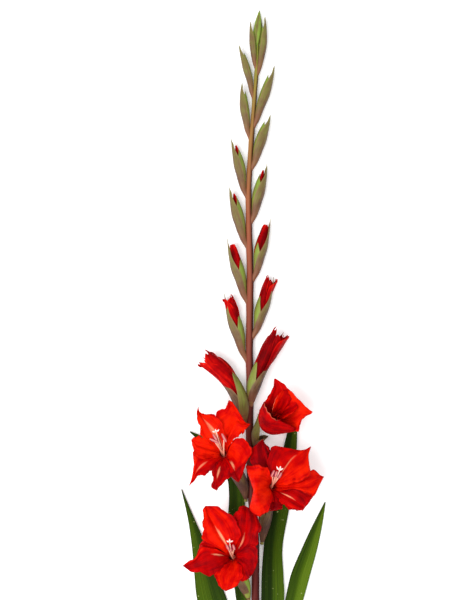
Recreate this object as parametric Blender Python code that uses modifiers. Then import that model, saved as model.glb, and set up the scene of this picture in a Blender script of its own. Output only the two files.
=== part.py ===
"""A cut gladiolus flower spike with its four leaves, lying on its back on a flat surface.

The stem runs along +Y, from the plain cut at the low end to the end bud at the top. The open
flowers face up (+Z), and the buds and the leaves lie beside the stem. The origin is below the
middle of the whole length, on the surface that the spike lies on.
"""

import math

import bmesh
import bpy
import numpy as np

MM = 0.001

# Every size below is in millimetres, and a height is measured up the stem from the cut.
# Whole spike
SPIKE_LENGTH = 887
CLEARANCE = 0.4
SHARP_ANGLE = math.radians(40)

# Stem: its sideways place and radius at each height. Where the leaves sheathe it, it lies on them
STEM_HEIGHTS = (0, 180, 210, 246, 300, 370, 420, 482, 566, 672, 774, 804, 887)
STEM_SIDEWAYS = (3.0, 2.4, 2.6, 2.4, -1.8, -4.8, -4.2, -4.8, -4.0, -5.6, 0.6, 3.0, 7.1)
STEM_RADII = (5.5, 4.6, 4.6, 4.6, 4.5, 4.4, 4.4, 4.3, 4.1, 3.4, 2.6, 2.3, 0.8)
STEM_SIDES = 12
STEM_STATIONS = 30
SHEATHED_HEIGHTS = (0, 48, 74, 110, 132, 190)
SHEATHED_CENTRE_Z = (7.9, 7.95, 7.8, 7.0, 6.2, 4.6)

# Leaves: the sheath walls nest round the stem, inner pair and outer pair
INNER_SHEATH = (5.9, 6.7)
OUTER_SHEATH = (7.1, 7.9)
SHEATH_HALF_ANGLE = math.radians(86)
LEAF_THICKNESS = 1.2
LEAF_EDGE_THICKNESS = 0.4
LEAST_BLADE = 0.12
SHEATH_INNER_POINTS = 9
SHEATH_OUTER_POINTS = 4
CLOSED_POINT_STEP = 0.8
MOUTH_STATIONS = 8

# Each leaf: side, sheath, mouth of the sheath, the keel's distance from the stem's middle up to
# the mouth, where the blade comes down to the surface, and the blade's stations: height, inner
# edge, outer edge and how much lower the outer edge lies there
LEAVES = {
    "leaf_left": dict(
        side=-1,
        sheath=OUTER_SHEATH,
        mouth=(48, 74),
        keel=((0, 8.8), (18, 12.5), (48, 24.0), (74, 31.0)),
        laid=150,
        stations=(
            (90, -7.6, -33.0, 0),
            (120, -15.0, -48.0, 0),
            (150, -23.5, -59.0, 0),
            (180, -31.9, -68.0, 0),
            (210, -44.0, -71.2, 0),
            (242, -56.0, -74.0, 0),
            (278, -71.5, -79.3, 0),
            (312, -86.0, -87.0, 0),
        ),
    ),
    "leaf_centre_left": dict(
        side=-1,
        sheath=INNER_SHEATH,
        mouth=(110, 132),
        keel=((0, 6.82), (74, 6.8), (90, 8.4), (110, 12.0), (132, 16.2)),
        laid=164,
        stations=(
            (148, -4.6, -17.5, 0),
            (180, -6.0, -21.0, 0),
            (230, -9.5, -28.0, 0),
            (276, -10.2, -30.5, 0),
            (310, -10.6, -29.5, -2),
            (336, -14.0, -32.5, -9),
            (356, -28.0, -43.0, -14),
            (371, -50.0, -58.0, -8),
            (382, -76.0, -77.0, -1),
        ),
    ),
    "leaf_centre_right": dict(
        side=1,
        sheath=INNER_SHEATH,
        mouth=(104, 126),
        keel=((0, 6.82), (58, 6.82), (76, 9.6), (104, 17.4), (126, 23.0)),
        laid=164,
        stations=(
            (140, 9.8, 28.6, 0),
            (180, 9.4, 37.0, 0),
            (210, 9.9, 36.2, 0),
            (236, 11.8, 34.9, 0),
            (290, 18.0, 43.2, 0),
            (330, 27.0, 48.6, 0),
            (360, 35.5, 52.0, -2),
            (395, 44.0, 52.0, -3),
            (414, 48.0, 49.0, -1),
        ),
    ),
    "leaf_right": dict(
        side=1,
        sheath=OUTER_SHEATH,
        mouth=(36, 58),
        keel=((0, 8.8), (36, 15.0), (58, 21.5)),
        laid=140,
        stations=(
            (76, 14.0, 27.5, 0),
            (108, 23.4, 38.5, 0),
            (140, 31.0, 48.0, 0),
            (180, 38.6, 60.4, 0),
            (210, 45.4, 68.4, -1),
            (240, 58.0, 76.4, -2),
            (270, 72.0, 82.8, -2),
            (297, 86.0, 87.0, -1),
        ),
    ),
}

# Flower places up the stem, from the lowest; odd ones stand left, even ones right
NODE_HEIGHTS = (
    177.6, 246, 297.6, 360, 387.6, 420, 463.2, 490.8, 532.8, 559.2,
    600, 628.8, 661.2, 693.6, 732, 744, 781, 805.2, 825,
)
FLOWER_STALK_Z = 5.6
FLOWER_STALK_OFFSET = 3.0
FLOWER_BEND = (0.3, 0.42, 0.34)
AXIS_RUN = 14
PATH_STEPS = 12

# Flower shape
TEPAL_THICKNESS = 0.7
TEPAL_GRID = (8, 6)
CUP_TEPAL_GRID = (7, 6)
LAYER_OFFSET = 0.75
THROAT_RADIUS = 6.3
TUBE_END_RADIUS = 4.5
TUBE_BASE_RADIUS = 2.2
TUBE_PLUG_DEPTH = 3.0
TUBE_SIDES = 10
TUBE_SWELL = 1.5
TEPAL_HALF_ANGLE = math.radians(48)
FURLED_HALF_ANGLE = math.radians(56)
TEPAL_TIP_ANGLE = math.radians(1.2)
TEPAL_TAPER = (3.2, 0.8)
FACE_TILT = 0.6
RIM_RISE = 30.0

# Funnel of an open and of a half-open flower: the wall's lean from the axis at the throat and
# at the rim, and the length over which it opens
OPEN_FUNNEL = (math.radians(10), math.radians(97), 58)
CUP_FUNNEL = (math.radians(8), math.radians(72), 46)
WALL_LENGTH = 90
WALL_STEPS = 361

# Bracts: two boat-shaped blades round the foot of each flower. The wrap is the half angle that a
# bract takes in, and the taper narrows it towards the tip
BRACT_THICKNESS = 0.7
BRACT_GRID = (7, 4)
BRACT_CLEARANCE = 0.75
BRACT_WRAP = math.radians(78)
BRACT_TIP_ANGLE = math.radians(5)
BRACT_TAPER = (2.4, 0.75)
BRACT_FULL_AT = 0.5
BRACT_STEPS = 60
BRACT_LEAN = 0.35

# Stamens and style of an open flower, one bundle: its radii and its arch
BUNDLE_RADII = (1.5, 1.3, 1.3, 1.3, 1.6, 2.2, 2.0, 1.2, 0.8)
BUNDLE_SIDES = 8
BUNDLE_RISE = 37
BUNDLE_RUN = 17
BUNDLE_LAST_LEAN = (0.55, 4)

# Open flowers: throat, lean of the rim from the throat, end of the style from the throat, and
# direction, reach from the rim's middle and layer of each tepal
OPEN_FLOWERS = {
    1: dict(
        throat=(-24.7, -212.3, 27),
        lean=(-13, 12),
        style=(-3.5, 22),
        tepals={
            "dorsal_tepal": (112, 54, "inner"),
            "upper_right_tepal": (54, 52, "outer"),
            "lower_right_tepal": (-14, 43, "inner"),
            "lower_middle_tepal": (-78, 50, "outer"),
            "lower_left_tepal": (-142, 50, "inner"),
            "upper_left_tepal": (170, 38, "outer"),
        },
    ),
    2: dict(
        throat=(22.2, -127.9, 27),
        lean=(18, 10),
        style=(7.2, 25.2),
        tepals={
            "dorsal_tepal": (55, 50, "inner"),
            "upper_right_tepal": (0, 44, "outer"),
            "lower_right_tepal": (-62, 43, "inner"),
            "lower_middle_tepal": (-118, 38, "outer"),
            "lower_left_tepal": (178, 36, "inner"),
            "upper_left_tepal": (124, 51, "outer"),
        },
    ),
    3: dict(
        throat=(-36.0, -89.0, 27),
        lean=(-5, 11),
        style=(-9.6, 30),
        tepals={
            "dorsal_tepal": (118, 54, "inner"),
            "upper_right_tepal": (57, 53, "outer"),
            "lower_right_tepal": (-16, 40, "inner"),
            "lower_middle_tepal": (-92, 50, "outer"),
            "lower_left_tepal": (-127, 52, "inner"),
            "upper_left_tepal": (168, 33, "outer"),
        },
    ),
}

# Outer and inner bract of each open flower: reach along the flower's path, radius and flare
OPEN_BRACTS = ((0.80, 7.6, 1.5), (0.66, 6.9, 0.8))

# Half-open flower
HALF_OPEN = 4
HALF_OPEN_THROAT = (22.2, -54.0, 18)
HALF_OPEN_LEAN = (16, 18)
HALF_OPEN_TEPALS = {
    "upper_tepal": (100, 38),
    "right_tepal": (-22, 35),
    "left_tepal": (-142, 33),
}
HALF_OPEN_BRACTS = ((0.86, 7.2, 1.0), (0.74, 6.6, 0.6))
HEART_LENGTH = 27
HEART_PLACES = (0.15, 0.3, 0.44, 0.58, 0.72, 0.86, 1)
HEART_RADII = (4.8, 5.7, 6.8, 7.7, 8.0, 6.8, 3.0)

# Opening buds: place of the ragged end, how the bud bends towards it, and the two bracts
OPENING_BUDS = {
    5: dict(
        end=(-56.8, 28.8, 16),
        bends=((0.12, 0.36, 1.0), (0.34, 0.68, 1.0)),
        bracts=((0.74, 8.8, 1.0), (0.80, 8.6, 1.2)),
    ),
    6: dict(
        end=(33.0, 57.0, 16),
        bends=((0.20, 0.38, 1.0), (0.44, 0.68, 1.0)),
        bracts=((0.68, 8.2, 1.0), (0.64, 7.8, 1.2)),
    ),
}
OPENING_BUD_RADII = (2.2, 4.2, 5.6, 6.8, 7.8, 9.0, 7.6)

# Closed buds: length up the stem, sideways reach of the tip from the stem's middle, width, and
# where along its length the bud leaves the stem
CLOSED_BUDS = {
    7: (82.8, 29.0, 16.0, 0.30),
    8: (73.0, 26.0, 17.0, 0.42),
    9: (78.8, 24.6, 15.6, 0.38),
    10: (77.6, 24.4, 15.6, 0.42),
    11: (73.9, 22.4, 14.6, 0.42),
    12: (72.5, 20.0, 14.4, 0.42),
    13: (70.4, 22.6, 13.4, 0.42),
    14: (67.2, 20.4, 13.4, 0.42),
    15: (66.9, 15.4, 11.4, 0.42),
    16: (76.0, 21.4, 12.0, 0.30),
    17: (63.5, 21.6, 9.8, 0.25),
    18: (73.7, 7.8, 9.6, 0.42),
    19: (48.0, 10.0, 8.6, 0.42),
}
BUD_BODY_PLACES = (0, 0.1, 0.2, 0.38, 0.55, 0.75, 0.9, 1)
BUD_BODY = (0.08, 0.24, 0.44, 0.80, 1.0, 0.78, 0.40, 0.04)
BUD_AWAY_POWER = 1.75
BUD_LIFTED_AT = 0.45
BUD_FLATNESS = 0.8
BUD_SIDES = 10
BUD_RINGS = 9


def clear_scene():
    for old in list(bpy.data.objects):
        bpy.data.objects.remove(old, do_unlink=True)


def new_collection(name):
    collection = bpy.data.collections.new(name)
    bpy.context.scene.collection.children.link(collection)
    return collection


def new_material(name, colour, roughness):
    material = bpy.data.materials.new(name)
    material.use_nodes = True
    shader = material.node_tree.nodes["Principled BSDF"]
    shader.inputs["Base Color"].default_value = (*colour, 1)
    shader.inputs["Roughness"].default_value = roughness
    shader.inputs["Metallic"].default_value = 0
    return material


clear_scene()
SPIKE = new_collection("gladiolus_flower_spike")
STEM_SKIN = new_material("stem_skin", (0.30, 0.13, 0.09), 0.5)
LEAF_GREEN = new_material("leaf_green", (0.09, 0.16, 0.03), 0.5)
TEPAL_RED = new_material("tepal_red", (0.85, 0.03, 0.01), 0.55)
BUD_RED = new_material("bud_red", (0.45, 0.0, 0.01), 0.5)
BRACT_OLIVE = new_material("bract_olive", (0.25, 0.26, 0.09), 0.55)
STAMEN_PINK = new_material("stamen_pink", (0.80, 0.45, 0.50), 0.5)


def smooth_curve(stations, values, at):
    """Cubic pieces through the values at the stations, with the slopes of the neighbours."""
    stations = np.asarray(stations, float)
    values = np.asarray(values, float)
    slopes = np.gradient(values, stations)
    at = np.clip(at, stations[0], stations[-1])
    piece = np.clip(np.searchsorted(stations, at) - 1, 0, len(stations) - 2)
    width = stations[piece + 1] - stations[piece]
    t = (at - stations[piece]) / width
    rise = (
        (2 * t**3 - 3 * t**2 + 1) * values[piece]
        + (t**3 - 2 * t**2 + t) * width * slopes[piece]
        + (3 * t**2 - 2 * t**3) * values[piece + 1]
        + (t**3 - t**2) * width * slopes[piece + 1]
    )
    return rise


def stem_x(height):
    return smooth_curve(STEM_HEIGHTS, STEM_SIDEWAYS, height)


def stem_radius(height):
    return smooth_curve(STEM_HEIGHTS, STEM_RADII, height)


def stem_z(height):
    """The stem lies on the surface, and on its own sheaths towards the cut."""
    return np.maximum(stem_radius(height), np.interp(height, SHEATHED_HEIGHTS, SHEATHED_CENTRE_Z))


def place(points):
    """Millimetres as metres."""
    return np.asarray(points, float) * MM


def height_to_y(height):
    return np.asarray(height, float) - SPIKE_LENGTH / 2


def finish(name, mesh, material):
    mesh.materials.append(material)
    mesh.shade_smooth()
    mesh.set_sharp_from_angle(angle=SHARP_ANGLE)
    piece = bpy.data.objects.new(name, mesh)
    SPIKE.objects.link(piece)
    return piece


def add_tube(name, path, radii, material, sides=TUBE_SIDES):
    """A round rod along a path, thicker and thinner as the radii say."""
    curve = bpy.data.curves.new(name, "CURVE")
    curve.dimensions = "3D"
    curve.bevel_depth = MM
    curve.bevel_resolution = sides // 2 - 2
    curve.use_fill_caps = True
    curve.use_radius = True
    spline = curve.splines.new("POLY")
    spline.points.add(len(path) - 1)
    for point, where, radius in zip(spline.points, place(path), radii):
        point.co = (*where, 1)
        point.radius = radius
    spline.use_smooth = True
    curve.materials.append(material)
    rod = bpy.data.objects.new(name, curve)
    SPIKE.objects.link(rod)
    return rod


def face_outwards(body):
    bmesh.ops.recalc_face_normals(body, faces=body.faces)
    if body.calc_volume(signed=True) < 0:
        bmesh.ops.reverse_faces(body, faces=body.faces)


def add_spindle(name, shape, material):
    """A closed pod: a ball whose rings are moved to shape(t, turn), from tip to tip."""
    ball = bmesh.new()
    bmesh.ops.create_uvsphere(ball, u_segments=BUD_SIDES, v_segments=BUD_RINGS, radius=1)
    for vertex in ball.verts:
        x, y, z = vertex.co
        along = math.acos(max(-1.0, min(1.0, -z))) / math.pi
        vertex.co = place(shape(along, math.atan2(y, x)))
    face_outwards(ball)
    mesh = bpy.data.meshes.new(name)
    ball.to_mesh(mesh)
    ball.free()
    return finish(name, mesh, material)


def add_sheet(name, shape, grid_size, thickness, material):
    """A thin blade: an open grid moved to shape(u, v), u along it and v across, with a wall."""
    rows, columns = grid_size
    grid = bmesh.new()
    bmesh.ops.create_grid(grid, x_segments=columns, y_segments=rows, size=1)
    for vertex in grid.verts:
        vertex.co = place(shape((vertex.co.y + 1) / 2, vertex.co.x))
    mesh = bpy.data.meshes.new(name)
    grid.to_mesh(mesh)
    grid.free()
    blade = finish(name, mesh, material)
    wall = blade.modifiers.new("wall", "SOLIDIFY")
    wall.thickness = thickness * MM
    wall.offset = 0
    return blade


def add_loft(name, sections, material):
    """A closed body through outlines with the same number of points each."""
    rows, columns = sections.shape[:2]
    body = bmesh.new()
    rings = [[body.verts.new(place(point)) for point in section] for section in sections]
    for low, high in zip(rings, rings[1:]):
        for start in range(columns):
            end = (start + 1) % columns
            body.faces.new((low[start], low[end], high[end], high[start]))
    body.faces.new(rings[0][::-1])
    body.faces.new(rings[rows - 1])
    face_outwards(body)
    mesh = bpy.data.meshes.new(name)
    body.to_mesh(mesh)
    body.free()
    return finish(name, mesh, material)


def bezier(points, t):
    """Cubic Bezier curve through the first and last of four points."""
    a, b, c, d = (np.asarray(point, float) for point in points)
    t = np.asarray(t, float)[..., None]
    return (1 - t) ** 3 * a + 3 * t * (1 - t) ** 2 * b + 3 * t**2 * (1 - t) * c + t**3 * d


def ease(t):
    t = np.clip(t, 0, 1)
    return t * t * (3 - 2 * t)


def build_stem():
    heights = np.linspace(0, SPIKE_LENGTH, STEM_STATIONS)
    path = np.stack([stem_x(heights), height_to_y(heights), stem_z(heights)], axis=1)
    return add_tube("stem", path, stem_radius(heights), STEM_SKIN, STEM_SIDES)


def blade_angle(leaf):
    """Half angle round the stem at which a leaf's wall is as thin as its blade."""
    return math.asin(LEAF_THICKNESS / 2 / leaf["sheath"][1])


def leaf_section(leaf, height, opened, shift, outer_edge, skew, centre_z):
    """Outline of a leaf across its length: a wall that clasps the stem, with a blade outwards."""
    inner_radius, outer_radius = leaf["sheath"]
    side = leaf["side"]
    half = LEAF_THICKNESS / 2
    flat_angle = blade_angle(leaf)
    half_angle = SHEATH_HALF_ANGLE + (flat_angle - SHEATH_HALF_ANGLE) * opened
    inner_turns = np.linspace(-half_angle, half_angle, SHEATH_INNER_POINTS)
    outer_turns = np.linspace(half_angle, flat_angle, SHEATH_OUTER_POINTS)
    inner = np.stack([inner_radius * np.cos(inner_turns), inner_radius * np.sin(inner_turns)], axis=1)
    top = np.stack([outer_radius * np.cos(outer_turns), outer_radius * np.sin(outer_turns)], axis=1)
    keel = max(outer_edge - shift, outer_radius + LEAST_BLADE)
    step = min(CLOSED_POINT_STEP, (keel - outer_radius) / (SHEATH_OUTER_POINTS + 1))
    top[:, 0] += opened * step * np.arange(SHEATH_OUTER_POINTS)
    middle = (top[-1, 0] + keel) / 2
    fin = np.array([[middle, half], [keel, LEAF_EDGE_THICKNESS / 2]])
    upper = np.concatenate([top, fin])
    lower = upper[::-1] * (1, -1)
    outline = np.concatenate([inner, upper, lower])
    across = outline[:, 0]
    lean = skew * np.clip((across - inner_radius) / max(keel - inner_radius, 1), 0, 1)
    x = stem_x(height) + side * (shift + across)
    y = height_to_y(height) + lean
    z = centre_z + outline[:, 1]
    return np.stack([x, np.broadcast_to(y, x.shape), z], axis=1)


def build_leaf(name, leaf):
    """The sheath clasps its side of the stem, opens at its mouth and goes over into the blade."""
    side = leaf["side"]
    mouth_low, mouth_high = leaf["mouth"]
    blade = np.array(leaf["stations"], float)
    keel_heights, keel_places = np.array(leaf["keel"], float).T
    opening = np.linspace(mouth_low, mouth_high, MOUTH_STATIONS)
    heights = np.unique(np.concatenate([keel_heights, opening, blade[:, 0]]))
    edge_distance = leaf["sheath"][0] * math.cos(blade_angle(leaf))
    sections = []
    for height in heights:
        opened = ease((height - mouth_low) / (mouth_high - mouth_low))
        if height <= mouth_high:
            shift = 0.0
            outer_edge = np.interp(height, keel_heights, keel_places)
            skew = 0.0
        else:
            row = blade[np.argmin(np.abs(blade[:, 0] - height))]
            shift = side * (row[1] - stem_x(height)) - edge_distance
            outer_edge = side * (row[2] - stem_x(height))
            skew = row[3]
        laid = ease((height - mouth_high) / (leaf["laid"] - mouth_high))
        centre_z = stem_z(height) + (LEAF_THICKNESS / 2 - stem_z(height)) * laid
        sections.append(leaf_section(leaf, height, opened, shift, outer_edge, skew, centre_z))
    return add_loft(name, np.array(sections), LEAF_GREEN)


def build_closed_bud(number, length, reach, width, away_from):
    """A bud wrapped in its two bracts, its inner edge along the stem and its tip bent away."""
    side = -1 if number % 2 else 1
    base = NODE_HEIGHTS[number - 1]
    half = width / 2
    rise = half * BUD_FLATNESS

    def shape(t, turn):
        body = smooth_curve(BUD_BODY_PLACES, BUD_BODY, t)
        height = base + length * t
        free = max(reach - stem_radius(base) - CLEARANCE, 1)
        away = free * max(0, (t - away_from) / (1 - away_from)) ** BUD_AWAY_POWER
        gap = stem_radius(height) + CLEARANCE
        x = stem_x(height) + side * (gap + half * body * (1 + math.cos(turn)) + away)
        middle = stem_z(height) + (rise - stem_z(height)) * ease(t / BUD_LIFTED_AT)
        z = max(middle, rise * body) + rise * body * math.sin(turn)
        return (x, height_to_y(height), z)

    return add_spindle(f"bud_{number}", shape, BRACT_OLIVE)


def stalk_start(number):
    """Where a flower leaves the stem, beside its skin."""
    side = -1 if number % 2 else 1
    height = NODE_HEIGHTS[number - 1]
    x = stem_x(height) + side * (stem_radius(height) + FLOWER_STALK_OFFSET)
    return np.array([x, height_to_y(height), FLOWER_STALK_Z])


def path_frame(path, outward):
    """Tangent of a path, and two directions across it, the first nearest to outward."""
    tangent = np.gradient(path, axis=0)
    tangent /= np.linalg.norm(tangent, axis=1, keepdims=True)
    outward = np.asarray(outward, float)
    across = outward - (tangent @ outward)[:, None] * tangent
    across /= np.linalg.norm(across, axis=1, keepdims=True)
    return across, np.cross(tangent, across)


def add_bract(name, path_points, number, outer, reach, radius, flare):
    """A boat-shaped bract that clasps one side of the flower's base."""
    side = -1 if number % 2 else 1
    outward = (side, 0, -BRACT_LEAN) if outer else (-side, 0, BRACT_LEAN)
    path = bezier(path_points, np.linspace(0, reach, BRACT_STEPS))
    across, beside = path_frame(path, outward)
    start_radius = TUBE_BASE_RADIUS + BRACT_CLEARANCE
    taper, bluntness = BRACT_TAPER

    def shape(u, v):
        at = int(round(u * (BRACT_STEPS - 1)))
        grown = math.sin(math.pi / 2 * min(1.0, u / BRACT_FULL_AT))
        turn = v * (BRACT_WRAP * (1 - u**taper) ** bluntness + BRACT_TIP_ANGLE)
        wide = start_radius + (radius - start_radius) * grown + flare * u**3
        return path[at] + wide * (math.cos(turn) * across[at] + math.sin(turn) * beside[at])

    return add_sheet(name, shape, BRACT_GRID, BRACT_THICKNESS, BRACT_OLIVE)


def add_bracts(name, path_points, number, bracts):
    for part, bract in zip(("outer", "inner"), bracts):
        add_bract(f"{name}_{part}_bract", path_points, number, part == "outer", *bract)


def funnel_profile(first_lean, last_lean, opening_length):
    """Radius and rise of a flower's funnel along its wall, and the wall's lean from the axis."""
    length = np.linspace(0, WALL_LENGTH, WALL_STEPS)
    lean = first_lean + (last_lean - first_lean) * ease(length / opening_length)
    step = length[1]
    radius = THROAT_RADIUS + np.concatenate([[0], np.cumsum(np.sin(lean[:-1]) * step)])
    rise = np.concatenate([[0], np.cumsum(np.cos(lean[:-1]) * step)])
    return length, radius, rise, lean


def tepal_shape(throat, lean, funnel, turn, reach, layer, half_angle):
    """A tepal is a stretch of the flower's funnel, on its inner or outer face."""
    length, radius, rise, wall_lean = funnel_profile(*funnel)
    end = np.interp(reach, radius, length)
    offset = {"inner": LAYER_OFFSET, "outer": -LAYER_OFFSET, "middle": 0}[layer]
    shear = np.array(lean, float) / RIM_RISE
    middle = math.radians(turn)
    taper, bluntness = TEPAL_TAPER

    def shape(u, v):
        along = end * u
        r = np.interp(along, length, radius)
        z = np.interp(along, length, rise)
        tilt = np.interp(along, length, wall_lean)
        r -= offset * math.cos(tilt)
        z += offset * math.sin(tilt)
        angle = middle + v * (half_angle * (1 - u**taper) ** bluntness + TEPAL_TIP_ANGLE)
        x = r * math.cos(angle) + shear[0] * z
        y = r * math.sin(angle) + shear[1] * z
        z -= FACE_TILT * (shear[0] * x + shear[1] * y)
        return (throat[0] + x, throat[1] + y, throat[2] + z)

    return shape


def flower_axis(lean):
    axis = np.array([lean[0], lean[1], RIM_RISE])
    return axis / np.linalg.norm(axis)


def flower_path(number, throat, lean):
    """From the stem, along it and outwards, then up into the throat along the flower's axis."""
    start = stalk_start(number)
    axis = flower_axis(lean)
    end = np.array(throat, float) + axis * TUBE_PLUG_DEPTH
    return [start, start + (end - start) * FLOWER_BEND, end - axis * AXIS_RUN, end]


def build_open_flower(number, throat, lean, style, tepals):
    name = f"floret_{number}"
    path = flower_path(number, throat, lean)
    for tepal, (turn, reach, layer) in tepals.items():
        shape = tepal_shape(throat, lean, OPEN_FUNNEL, turn, reach, layer, TEPAL_HALF_ANGLE)
        add_sheet(f"{name}_{tepal}", shape, TEPAL_GRID, TEPAL_THICKNESS, TEPAL_RED)
    steps = np.linspace(0, 1, PATH_STEPS)
    radii = TUBE_BASE_RADIUS + (TUBE_END_RADIUS - TUBE_BASE_RADIUS) * steps**TUBE_SWELL
    add_tube(f"{name}_tube", bezier(path, steps), radii, TEPAL_RED)

    axis = flower_axis(lean)
    base = path[-1] + axis * CLEARANCE
    tip = np.array([throat[0] + style[0], throat[1] + style[1], throat[2] + BUNDLE_RISE])
    back, drop = BUNDLE_LAST_LEAN
    arch = [base, base + axis * BUNDLE_RUN, tip - (back * style[0], back * style[1], drop), tip]
    steps = np.linspace(0, 1, len(BUNDLE_RADII))
    bundle = bezier(arch, steps)
    add_tube(f"{name}_stamens_and_style", bundle, BUNDLE_RADII, STAMEN_PINK, BUNDLE_SIDES)
    add_bracts(name, path, number, OPEN_BRACTS)


def build_half_open_flower():
    name = f"floret_{HALF_OPEN}"
    path = flower_path(HALF_OPEN, HALF_OPEN_THROAT, HALF_OPEN_LEAN)
    for tepal, (turn, reach) in HALF_OPEN_TEPALS.items():
        shape = tepal_shape(
            HALF_OPEN_THROAT, HALF_OPEN_LEAN, CUP_FUNNEL, turn, reach, "middle", FURLED_HALF_ANGLE
        )
        add_sheet(f"{name}_{tepal}", shape, CUP_TEPAL_GRID, TEPAL_THICKNESS, BUD_RED)
    heart = HEART_LENGTH * flower_axis(HALF_OPEN_LEAN)
    stem_part = bezier(path, np.linspace(0, 1, PATH_STEPS))
    heart_part = path[-1] + np.array(HEART_PLACES)[:, None] * heart
    radii = np.concatenate([np.linspace(TUBE_BASE_RADIUS, TUBE_END_RADIUS, PATH_STEPS), HEART_RADII])
    add_tube(f"{name}_heart", np.concatenate([stem_part, heart_part]), radii, BUD_RED)
    add_bracts(name, path, HALF_OPEN, HALF_OPEN_BRACTS)


def build_opening_bud(number, end, bends, bracts):
    """A rolled corolla that runs up beside the stem at first, then away from it."""
    name = f"bud_{number}"
    start = stalk_start(number)
    end = np.array(end, float)
    path = [start, *(start + (end - start) * bend for bend in bends), end]
    steps = np.linspace(0, 1, PATH_STEPS)
    radii = np.interp(steps, np.linspace(0, 1, len(OPENING_BUD_RADII)), OPENING_BUD_RADII)
    add_tube(f"{name}_corolla", bezier(path, steps), radii, BUD_RED)
    add_bracts(name, path, number, bracts)


build_stem()
for leaf_name, leaf_shape in LEAVES.items():
    build_leaf(leaf_name, leaf_shape)
for flower, sizes in OPEN_FLOWERS.items():
    build_open_flower(flower, **sizes)
build_half_open_flower()
for bud, sizes in OPENING_BUDS.items():
    build_opening_bud(bud, **sizes)
for bud, sizes in CLOSED_BUDS.items():
    build_closed_bud(bud, *sizes)
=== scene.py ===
import math

import bmesh
import bpy
import numpy as np
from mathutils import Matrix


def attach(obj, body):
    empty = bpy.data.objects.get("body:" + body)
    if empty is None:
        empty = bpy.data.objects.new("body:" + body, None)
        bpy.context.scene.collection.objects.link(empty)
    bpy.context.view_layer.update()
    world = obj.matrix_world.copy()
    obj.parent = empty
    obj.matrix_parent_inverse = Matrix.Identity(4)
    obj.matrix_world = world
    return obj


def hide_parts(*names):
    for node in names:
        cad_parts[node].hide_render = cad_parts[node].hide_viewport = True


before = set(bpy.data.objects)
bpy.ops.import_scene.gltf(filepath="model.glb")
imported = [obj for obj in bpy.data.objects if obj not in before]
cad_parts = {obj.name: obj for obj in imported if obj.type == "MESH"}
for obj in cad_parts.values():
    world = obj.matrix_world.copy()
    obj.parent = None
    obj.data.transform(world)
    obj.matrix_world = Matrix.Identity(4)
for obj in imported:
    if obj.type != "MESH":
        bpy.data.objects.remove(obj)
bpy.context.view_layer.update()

# The view: a long studio lens, square above the lying spike, on the photograph's upright frame.
# The frame takes in the upper 0.72 m of the spike; its foot runs out at the lower edge.
VIEW_HEIGHT = 0.720
VIEW_MIDDLE = (-0.0342, 0.0965)
FLOWER_LEVEL = 0.025
CAMERA_DISTANCE = 6.0
SENSOR = 36.0

camera_data = bpy.data.cameras.new("camera")
camera_data.sensor_width = SENSOR
camera_data.lens = SENSOR * CAMERA_DISTANCE / VIEW_HEIGHT
camera = bpy.data.objects.new("camera", camera_data)
camera.location = (*VIEW_MIDDLE, CAMERA_DISTANCE + FLOWER_LEVEL)
bpy.context.scene.collection.objects.link(camera)
bpy.context.scene.camera = camera

# The studio: a pale matt floor under a white dome of light, a large soft lamp at the low left,
# and a weaker one at the upper right. The floor glows faintly, so that its shadows stay faint.
FLOOR_SIZE = 30.0
FLOOR_TONES = ((0.92, 0.92, 0.92), (0.93, 0.93, 0.93))
FLOOR_GLOW = 0.19
DOME_STRENGTH = 0.90
LAMPS = {
    "key_lamp": dict(place=(-1.5, -0.8, 2.5), size=2.4, watts=84),
    "fill_lamp": dict(place=(1.6, 1.8, 2.8), size=2.2, watts=10),
}


def node(skin, kind, inputs=None, **settings):
    """Adds a shader node: settings on the node, inputs as values or as other nodes' outputs."""
    made = skin.node_tree.nodes.new(kind)
    for setting, value in settings.items():
        setattr(made, setting, value)
    for place, value in (inputs or {}).items():
        if isinstance(value, bpy.types.NodeSocket):
            skin.node_tree.links.new(value, made.inputs[place])
        else:
            made.inputs[place].default_value = value
    return made


def new_skin(name, roughness, gloss=0.25):
    """A material and its surface shader."""
    skin = bpy.data.materials.new(name)
    skin.use_nodes = True
    surface = skin.node_tree.nodes["Principled BSDF"]
    surface.inputs["Roughness"].default_value = roughness
    surface.inputs["Specular IOR Level"].default_value = gloss
    return skin, surface


def blend(skin, share, stops):
    """Colours that pass into one another along a share from 0 to 1."""
    ramp = node(skin, "ShaderNodeValToRGB", {"Fac": share})
    steps = ramp.color_ramp.elements
    while len(steps) < len(stops):
        steps.new(1)
    for step, (position, colour) in zip(steps, stops):
        step.position = position
        step.color = (*colour, 1)
    return ramp.outputs["Color"]


def body_noise(skin, scale, detail=2.0):
    """Noise in the piece's own space, as many blotches to the metre as scale says."""
    where = node(skin, "ShaderNodeTexCoord").outputs["Object"]
    return node(
        skin, "ShaderNodeTexNoise", {"Vector": where, "Scale": scale, "Detail": detail}
    ).outputs["Fac"]


floor_skin, floor_surface = new_skin("floor_paper", 0.9)
floor_surface.inputs["Emission Color"].default_value = (1, 1, 1, 1)
floor_surface.inputs["Emission Strength"].default_value = FLOOR_GLOW
floor_grain = body_noise(floor_skin, 40.0, 4.0)
floor_colour = blend(floor_skin, floor_grain, [(0.3, FLOOR_TONES[0]), (0.7, FLOOR_TONES[1])])
floor_skin.node_tree.links.new(floor_colour, floor_surface.inputs["Base Color"])
floor_mesh = bpy.data.meshes.new("floor")
corner = FLOOR_SIZE / 2
floor_mesh.from_pydata(
    [(-corner, -corner, 0), (corner, -corner, 0), (corner, corner, 0), (-corner, corner, 0)],
    [],
    [(0, 1, 2, 3)],
)
floor_mesh.materials.append(floor_skin)
floor = bpy.data.objects.new("floor", floor_mesh)
bpy.context.scene.collection.objects.link(floor)

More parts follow.
